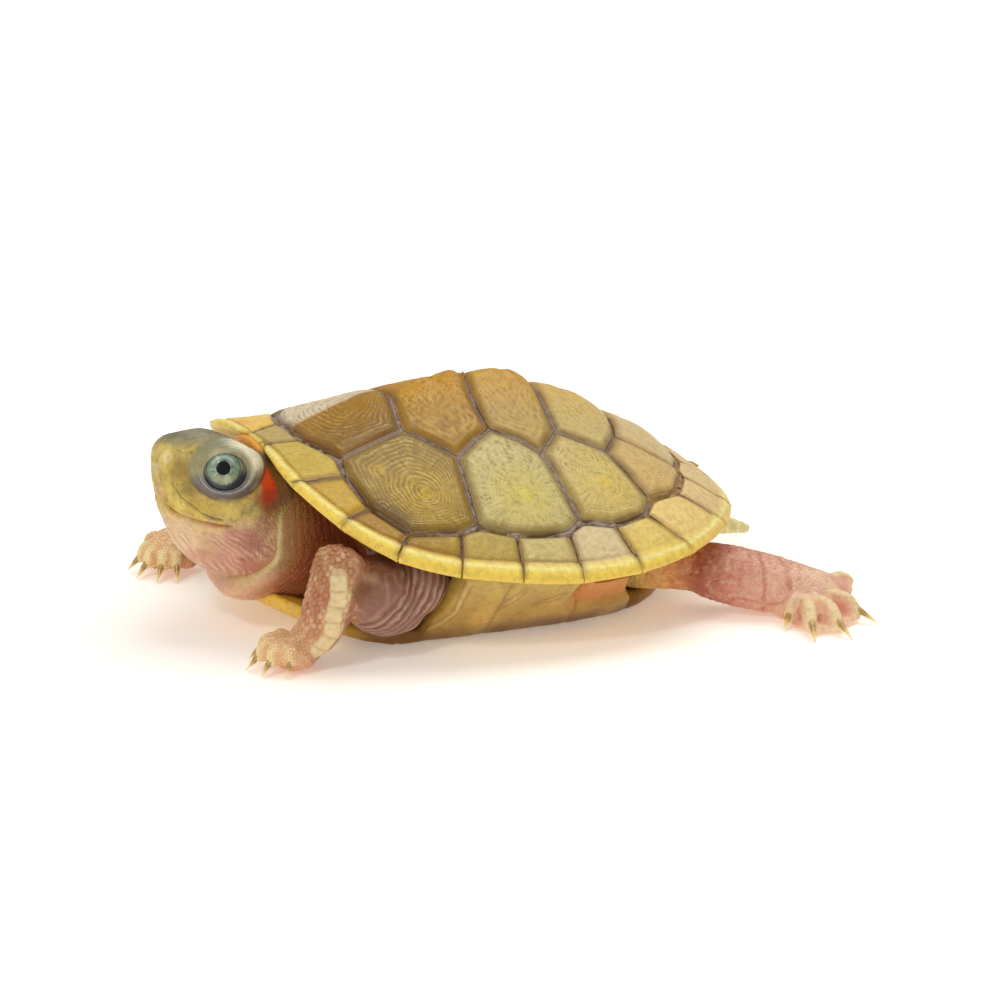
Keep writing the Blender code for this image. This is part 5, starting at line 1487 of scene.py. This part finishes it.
def makePlastron():
    obj = nodeCopy("plastron")
    bevel = obj.modifiers.new("edge", "BEVEL")
    bevel.width = belly["bevel"]
    bevel.segments = 2
    bevel.limit_method = "ANGLE"
    applyModifiers(obj)
    remeshed(obj, belly["voxel"], belly["smoothing"])
    places, normals = placesOf(obj), normalsOf(obj)
    left = sided(places)
    x, y, z = places.T
    tint = plainTint(places, 192, 154, 64)
    soften(tint, (202, 174, 86), smoothstep(2.4, 4.6, z))
    # painted shade: darker low down by the floor, except at the front
    soften(tint, (132, 86, 26), smoothstep(1.6, 0.4, z) * smoothstep(-12.5, -9.5, y))
    soften(tint, (236, 190, 60), smoothstep(-9.5, -12.5, y))
    soften(tint, (226, 182, 92), 0.6 * smoothstep(0.1, 0.7, softNoise(places, 2.2, 95)))
    soften(tint, (170, 138, 60), 0.5 * smoothstep(0.1, 0.7, softNoise(places, 1.5, 96)))
    hollow = smoothstep(1.6, 3.2, y) * smoothstep(1.3, 2.6, z) * smoothstep(8, 9.5, left[:, 0])
    soften(tint, (212, 134, 60), 0.9 * hollow)
    soften(tint, (226, 170, 116), 0.6 * hollow * smoothstep(3.2, 2.2, z))
    height = -belly["hollow"] * hollow
    height += 0.03 * softNoise(places, 1.2, 97) + 0.012 * softNoise(places, 0.35, 98)
    for points in belly["seams"]:
        gap, run = strokeGap(left, points)
        fade = smoothstep(1.0, 0.85, run) * smoothstep(0.0, 0.1, run)
        height += fade * (0.05 * bell(gap, 0, 0.1) - 0.04 * bell(gap, 0.26, 0.1))
        soften(tint, (232, 204, 134), 0.75 * fade * bell(gap, 0, 0.09))
        soften(tint, (150, 112, 60), 0.5 * fade * bell(gap, 0.24, 0.1))
    # seams between the belly's scutes, and their rings
    under = smoothstep(-0.3, -0.7, normals[:, 2])
    rows = np.min([np.abs(y - row) for row in belly["rows"]], axis=0)
    line = np.maximum(bell(rows, 0, 0.12), bell(x, 0, 0.12)) * under
    height -= 0.06 * line
    soften(tint, (150, 108, 52), 0.7 * line)
    blotch = smoothstep(0.3, 0.0, softNoise(places * (1, 0.8, 1), 2.6, 99))
    blotch *= under * smoothstep(0.5, 2.0, rows)
    soften(tint, (158, 122, 60), 0.3 * blotch)
    places = places + normals * height[:, None]
    # the front lip dips under the collar
    dip = smoothstep(-12.0, -16.0, places[:, 1])
    places += np.column_stack((0 * dip, 1.2 * dip, -0.5 * dip))
    places[:, 2] = np.maximum(places[:, 2], z.min())
    movePlaces(obj, places)
    setTint(obj, "skinTint", tint)
    setMask(obj, "wet", np.full(len(places), 0.25))
    return obj


eyeBalls = {side: makeEye(side) for side in ("left", "right")}
claws = {name: makeClaws(name) for name in limbs}
plastron = makePlastron()
print("eyes, claws and plastron made:", len(plastron.data.vertices), "points in the plastron")


def eyeMaterial():
    material, tree, shader = newMaterial(
        "eyeball", **{"Coat Weight": 0.45, "Coat Roughness": 0.02, "Specular IOR Level": 0.1})
    reach = rangeOf(tree, (-1000, 200), attributeOf(tree, (-1200, 200), "pupilReach", "Fac"), 0.0, 2.0)
    pupil = rampOf(tree, (-760, 200), reach, ((0.198, (1, 1, 1)), (0.212, (0, 0, 0))))
    iris = attributeOf(tree, (-900, -100), "eyeTint")
    tint = mixOf(tree, (-400, 100), pupil, iris, (0.002, 0.002, 0.003, 1.0))
    rough = rangeOf(tree, (-400, -200), reach, 0.0, 1.0, 0.3, 0.5)
    wire(tree, shader, {"Base Color": tint, "Roughness": rough})
    return material


ballMaterial = eyeMaterial()
for side, ball in eyeBalls.items():
    finishPiece(ball, ballMaterial, ("eye_" + side,))


def clawMaterialOf():
    # horn that is cloudy olive at its root and clears to a pale tip
    material, tree, shader = newMaterial(
        "clawHorn", **{"Subsurface Weight": 0.3, "Subsurface Scale": 0.0006,
                       "Subsurface Radius": (1.0, 0.7, 0.4), "Coat Weight": 0.4, "Coat Roughness": 0.1})
    cloud, = noisesOf(tree, (-1100, -200), (perMm * 3, 2.0))
    run = attributeOf(tree, (-1100, 100), "clawRun", "Fac")
    mixed = mathOf(tree, (-860, 0), "MULTIPLY_ADD", cloud, 0.3, run)
    tint = rampOf(tree, (-560, 100), mixed, (
        (0.1, linear(228, 204, 136)), (0.3, linear(206, 176, 108)), (0.58, linear(164, 132, 72)),
        (0.85, linear(226, 194, 122)), (1.0, linear(244, 226, 170))))
    rough = rangeOf(tree, (-560, -200), cloud, 0.0, 1.0, 0.25, 0.45)
    wire(tree, shader, {"Base Color": tint, "Roughness": rough})
    return material


clawMaterial = clawMaterialOf()
for name, piece in claws.items():
    finishPiece(piece, clawMaterial, ("foot_" + name,))


def skinMaterialOf():
    # the sculpted skin's own tints, with pores, fine creases and a damp sheen
    material, tree, shader = newMaterial(
        "turtleSkin", **{"Subsurface Weight": 0.12, "Subsurface Radius": (1.0, 0.45, 0.25),
                         "Subsurface Scale": 0.0005, "Coat Roughness": 0.12, "IOR": 1.42})
    cloud, pores, mottle = noisesOf(
        tree, (-1100, 60), (perMm * 2.6, 4.0), (perMm * 13, 2.0), (perMm * 1.6, 3.0))
    shade = rampOf(tree, (-860, 120), cloud,
                   ((0.3, (0.8, 0.74, 0.68)), (0.5, (1, 1, 1)), (0.72, (1.14, 1.12, 1.08))))
    tint = mixOf(tree, (-560, 260), 0.7, attributeOf(tree, (-1100, 300), "skinTint"), shade, "MULTIPLY")
    rough = rangeOf(tree, (-560, -40), mottle, 0.0, 1.0, 0.42, 0.66)
    sheen = rangeOf(tree, (-460, -420), attributeOf(tree, (-700, -420), "wet", "Fac"), 0.0, 1.0, 0.16, 0.9)
    bump = bumpOf(tree, (-460, -200), mathOf(tree, (-700, -200), "ADD", cloud, pores), 0.55, 0.07)
    wire(tree, shader, {"Base Color": tint, "Roughness": rough, "Coat Weight": sheen, "Normal": bump})
    return material


scales = {
    "seed": 7, "sides": 8, "spacing": 0.43,
    "length": 0.56, "width": 0.5, "uneven": (0.9, 0.2),  # as shares of a scale's size
    "sunk": 0.3,  # share of a scale's size that lies in the skin
    "patch": 0.0015,  # half a scale's patch on the unwrapped skin
    # rise as a share of size, and what the skin's colour is multiplied by between scales and on them
    "looks": {
        "face_scales": (0.08, (0.95, 0.9, 0.85), 1.05), "neck_scales": (0.07, (0.94, 0.9, 0.86), 1.04),
        "tail_scales": (0.05, (0.97, 0.95, 0.92), 1.03), "scales_front": (0.17, (0.98, 0.8, 0.72), 1.14),
        "scales_hind": (0.06, (0.98, 0.93, 0.9), 1.04),
    },
}


def pickRoots(places, sizes, seed):
    # points about a scale apart, the largest scales first
    order = np.random.default_rng(seed).permutation(np.flatnonzero(sizes > 0))
    order = order[np.argsort(-sizes[order], kind="stable")]
    cell = sizes.max()
    grid, kept = {}, []
    for i in order:
        x, y, z = places[i]
        size = sizes[i]
        column, row, layer = int(x // cell), int(y // cell), int(z // cell)
        free = True
        for a, b, c in np.ndindex(3, 3, 3):
            for u, v, w, other in grid.get((column + a - 1, row + b - 1, layer + c - 1), ()):
                if (u - x) ** 2 + (v - y) ** 2 + (w - z) ** 2 < ((size + other) * scales["spacing"]) ** 2:
                    free = False
                    break
            if not free:
                break
        if free:
            grid.setdefault((column, row, layer), []).append((x, y, z, size))
            kept.append(i)
    return np.array(kept)


def makeScales(name, roots, places, normals, sizes, ways, unwrap, tints, rise, groove, bright):
    # low domes, each tilted up at its rear, with a closed base inside the skin
    sides = scales["sides"]
    turn = 2 * pi * np.arange(sides) / sides
    rims = ((1.0, -scales["sunk"]), (0.94, 0.02), (0.7, rise * 0.8))
    local = np.array([(reach * cos(a), reach * sin(a), rise) for reach, rise in rims for a in turn]
                     + [(0, 0, rise)])
    faces = [tuple(range(sides - 1, -1, -1))]
    for level in range(len(rims) - 1):
        for k in range(sides):
            following = (k + 1) % sides
            faces.append((level * sides + k, level * sides + following,
                          (level + 1) * sides + following, (level + 1) * sides + k))
    top = len(local) - 1
    last = top - sides
    faces += [(last + k, last + (k + 1) % sides, top) for k in range(sides)]
    up = normals[roots]
    along = ways[roots] - up * (ways[roots] * up).sum(axis=1)[:, None]
    along /= lengthsOf(along)[:, None] + 1e-9
    across = np.cross(up, along)
    least, spread = scales["uneven"]
    size = sizes[roots] * (least + spread * np.random.default_rng(scales["seed"]).random(len(roots)))
    lift = local[:, 2:3] + rise / 2 * local[:, :1] * (local[:, 2:3] > 0)
    points = (places[roots][:, None, :]
              + (size[:, None] * scales["length"])[:, :, None] * local[None, :, :1] * along[:, None, :]
              + (size[:, None] * scales["width"])[:, :, None] * local[None, :, 1:2] * across[:, None, :]
              + size[:, None, None] * lift[None] * up[:, None, :])
    points[:, :, 2] = np.maximum(points[:, :, 2], 0.01)
    count = len(local)
    mesh = bpy.data.meshes.new(name)
    mesh.from_pydata(points.reshape(-1, 3).tolist(), [],
                     [[i * count + k for k in face] for i in range(len(roots)) for face in faces])
    obj = newPiece(name, mesh)
    shade = np.where(local[:, 2:] > 0.05, bright, groove)[None]
    setTint(obj, "skinTint", np.clip(tints[roots][:, None, :] * shade, 0, 1).reshape(-1, 3))
    setMask(obj, "wet", np.full(len(points) * count, 0.15))
    patch = unwrap[roots][:, None, :] + scales["patch"] * local[None, :, :2]
    corners = np.empty(len(mesh.loops), np.int32)
    mesh.loops.foreach_get("vertex_index", corners)
    layer = mesh.uv_layers.new(name="OFBake")
    layer.data.foreach_set("uv", patch.reshape(-1, 2)[corners].astype(np.float32).ravel())
    return obj


def tintOf(obj):
    values = np.empty(len(obj.data.vertices) * 4, np.float32)
    obj.data.attributes["skinTint"].data.foreach_get("color", values)
    return values.reshape(-1, 4)[:, :3].astype(float)


head.data.transform(headTurn)
skinMaterial = skinMaterialOf()
coats = []
for obj, (sizes, ways, unwrap) in ((body, bodyHide), (head, headHide)):
    places, normals, tints = placesOf(obj), normalsOf(obj), tintOf(obj)
    if obj == head:
        regions = {"face_scales": sizes > 0}
    else:
        x, y = places[:, 0], places[:, 1]
        regions = {"neck_scales": (np.abs(x) < 6.6) & (y < -8), "tail_scales": (np.abs(x) < 3) & (y > 12)}
        for name in limbs:
            beside = (x > 5.6) if "left" in name else (x < -5.6)
            onLimb = beside & ((y < -2) if "front" in name else (y > 2))
            regions["scales_" + name] = onLimb & ~regions["neck_scales"]
    for name, region in regions.items():
        roots = pickRoots(places, np.where(region, sizes, 0), scales["seed"])
        look = scales["looks"][name.replace("_left", "").replace("_right", "")]
        coats.append(makeScales(name, roots, places, normals, sizes, ways, unwrap, tints, *look))
        print(name, len(roots), "scales")


# the trunk inside the shell keeps one face in twenty
x, y = placesOf(body)[:, :2].T
halfWidth, start, stop = flesh["inside"]
inside = (np.abs(x) < halfWidth) & (y > start) & (y < stop)
thinOut(body, triangleCount(body) * (1 - (1 - flesh["insideKept"]) * inside.mean()), 1.0 * inside)
thinOut(body, flesh["bodyKept"])
thinOut(head, flesh["headKept"])
skin = joinPieces([body, head], "skin")
fleshNodes = [name for name in nodes if name.startswith(("trunk", "neck", "head", "tail", "leg_", "foot_"))]
finishPiece(skin, skinMaterial, fleshNodes)
for coat in coats:
    finishPiece(coat, skinMaterial, ())
finishPiece(plastron, skinMaterial, ("plastron",))
print("skin finished:", triangleCount(skin), "triangles")


studio = {
    "floorSize": 3.0, "floorColour": linear(250, 248, 245),
    "skyStrength": 0.5,
    # name, place, aim, size, power
    "lamps": (
        ("overhead", (-0.10, 0.16, 0.55), (0.0, 0.0, 0.0), 0.45, 1.5),
        ("glint", (0.204, -0.243, 0.341), (0.0, -0.017, 0.010), 0.06, 0.3),
        ("front", (0.32, -0.42, 0.30), (0.0, -0.006, 0.005), 0.25, 0.25),
    ),
    "cameraPlace": (0.2840, -0.1163, 0.0981),
    "cameraForward": (-0.8838, 0.3691, -0.2874),
    "lens": 184.93,
}


def makeFloor():
    deselectAll()
    bpy.ops.mesh.primitive_grid_add(x_subdivisions=8, y_subdivisions=8, size=studio["floorSize"])
    floor = bpy.context.object
    floor.name = "floor"
    paper, tree, shader = newMaterial(
        "whitePaper", **{"Base Color": (*studio["floorColour"], 1.0), "Specular IOR Level": 0.2,
                         "Emission Color": (1.0, 0.88, 0.74, 1.0), "Emission Strength": 0.27})
    fibre, = noisesOf(tree, (-500, 0), (400.0, 2.0))
    wire(tree, shader, {"Roughness": rangeOf(tree, (-250, 0), fibre, 0.0, 1.0, 0.7, 0.9)})
    floor.data.materials.append(paper)


def makeLamps():
    world = bpy.data.worlds.new("studio")
    bpy.context.scene.world = world
    world.use_nodes = True
    world.node_tree.nodes["Background"].inputs["Color"].default_value = (1.0, 0.99, 0.97, 1.0)
    world.node_tree.nodes["Background"].inputs["Strength"].default_value = studio["skyStrength"]
    for name, place, aim, size, power in studio["lamps"]:
        bpy.ops.object.light_add(type="AREA", location=place)
        lamp = bpy.context.object
        lamp.name = name
        lamp.data.shape = "DISK"
        lamp.data.size = size
        lamp.data.energy = power
        lamp.rotation_euler = (Vector(aim) - Vector(place)).to_track_quat("-Z", "Y").to_euler()


def makeCamera():
    bpy.ops.object.camera_add(location=studio["cameraPlace"])
    camera = bpy.context.object
    camera.rotation_euler = Vector(studio["cameraForward"]).to_track_quat("-Z", "Y").to_euler()
    camera.data.lens = studio["lens"]
    camera.data.sensor_width = 36.0
    camera.data.clip_start = 0.01
    camera.data.clip_end = 20.0
    bpy.context.scene.camera = camera


makeFloor()
makeLamps()
makeCamera()
bpy.context.scene.view_settings.view_transform = "Standard"
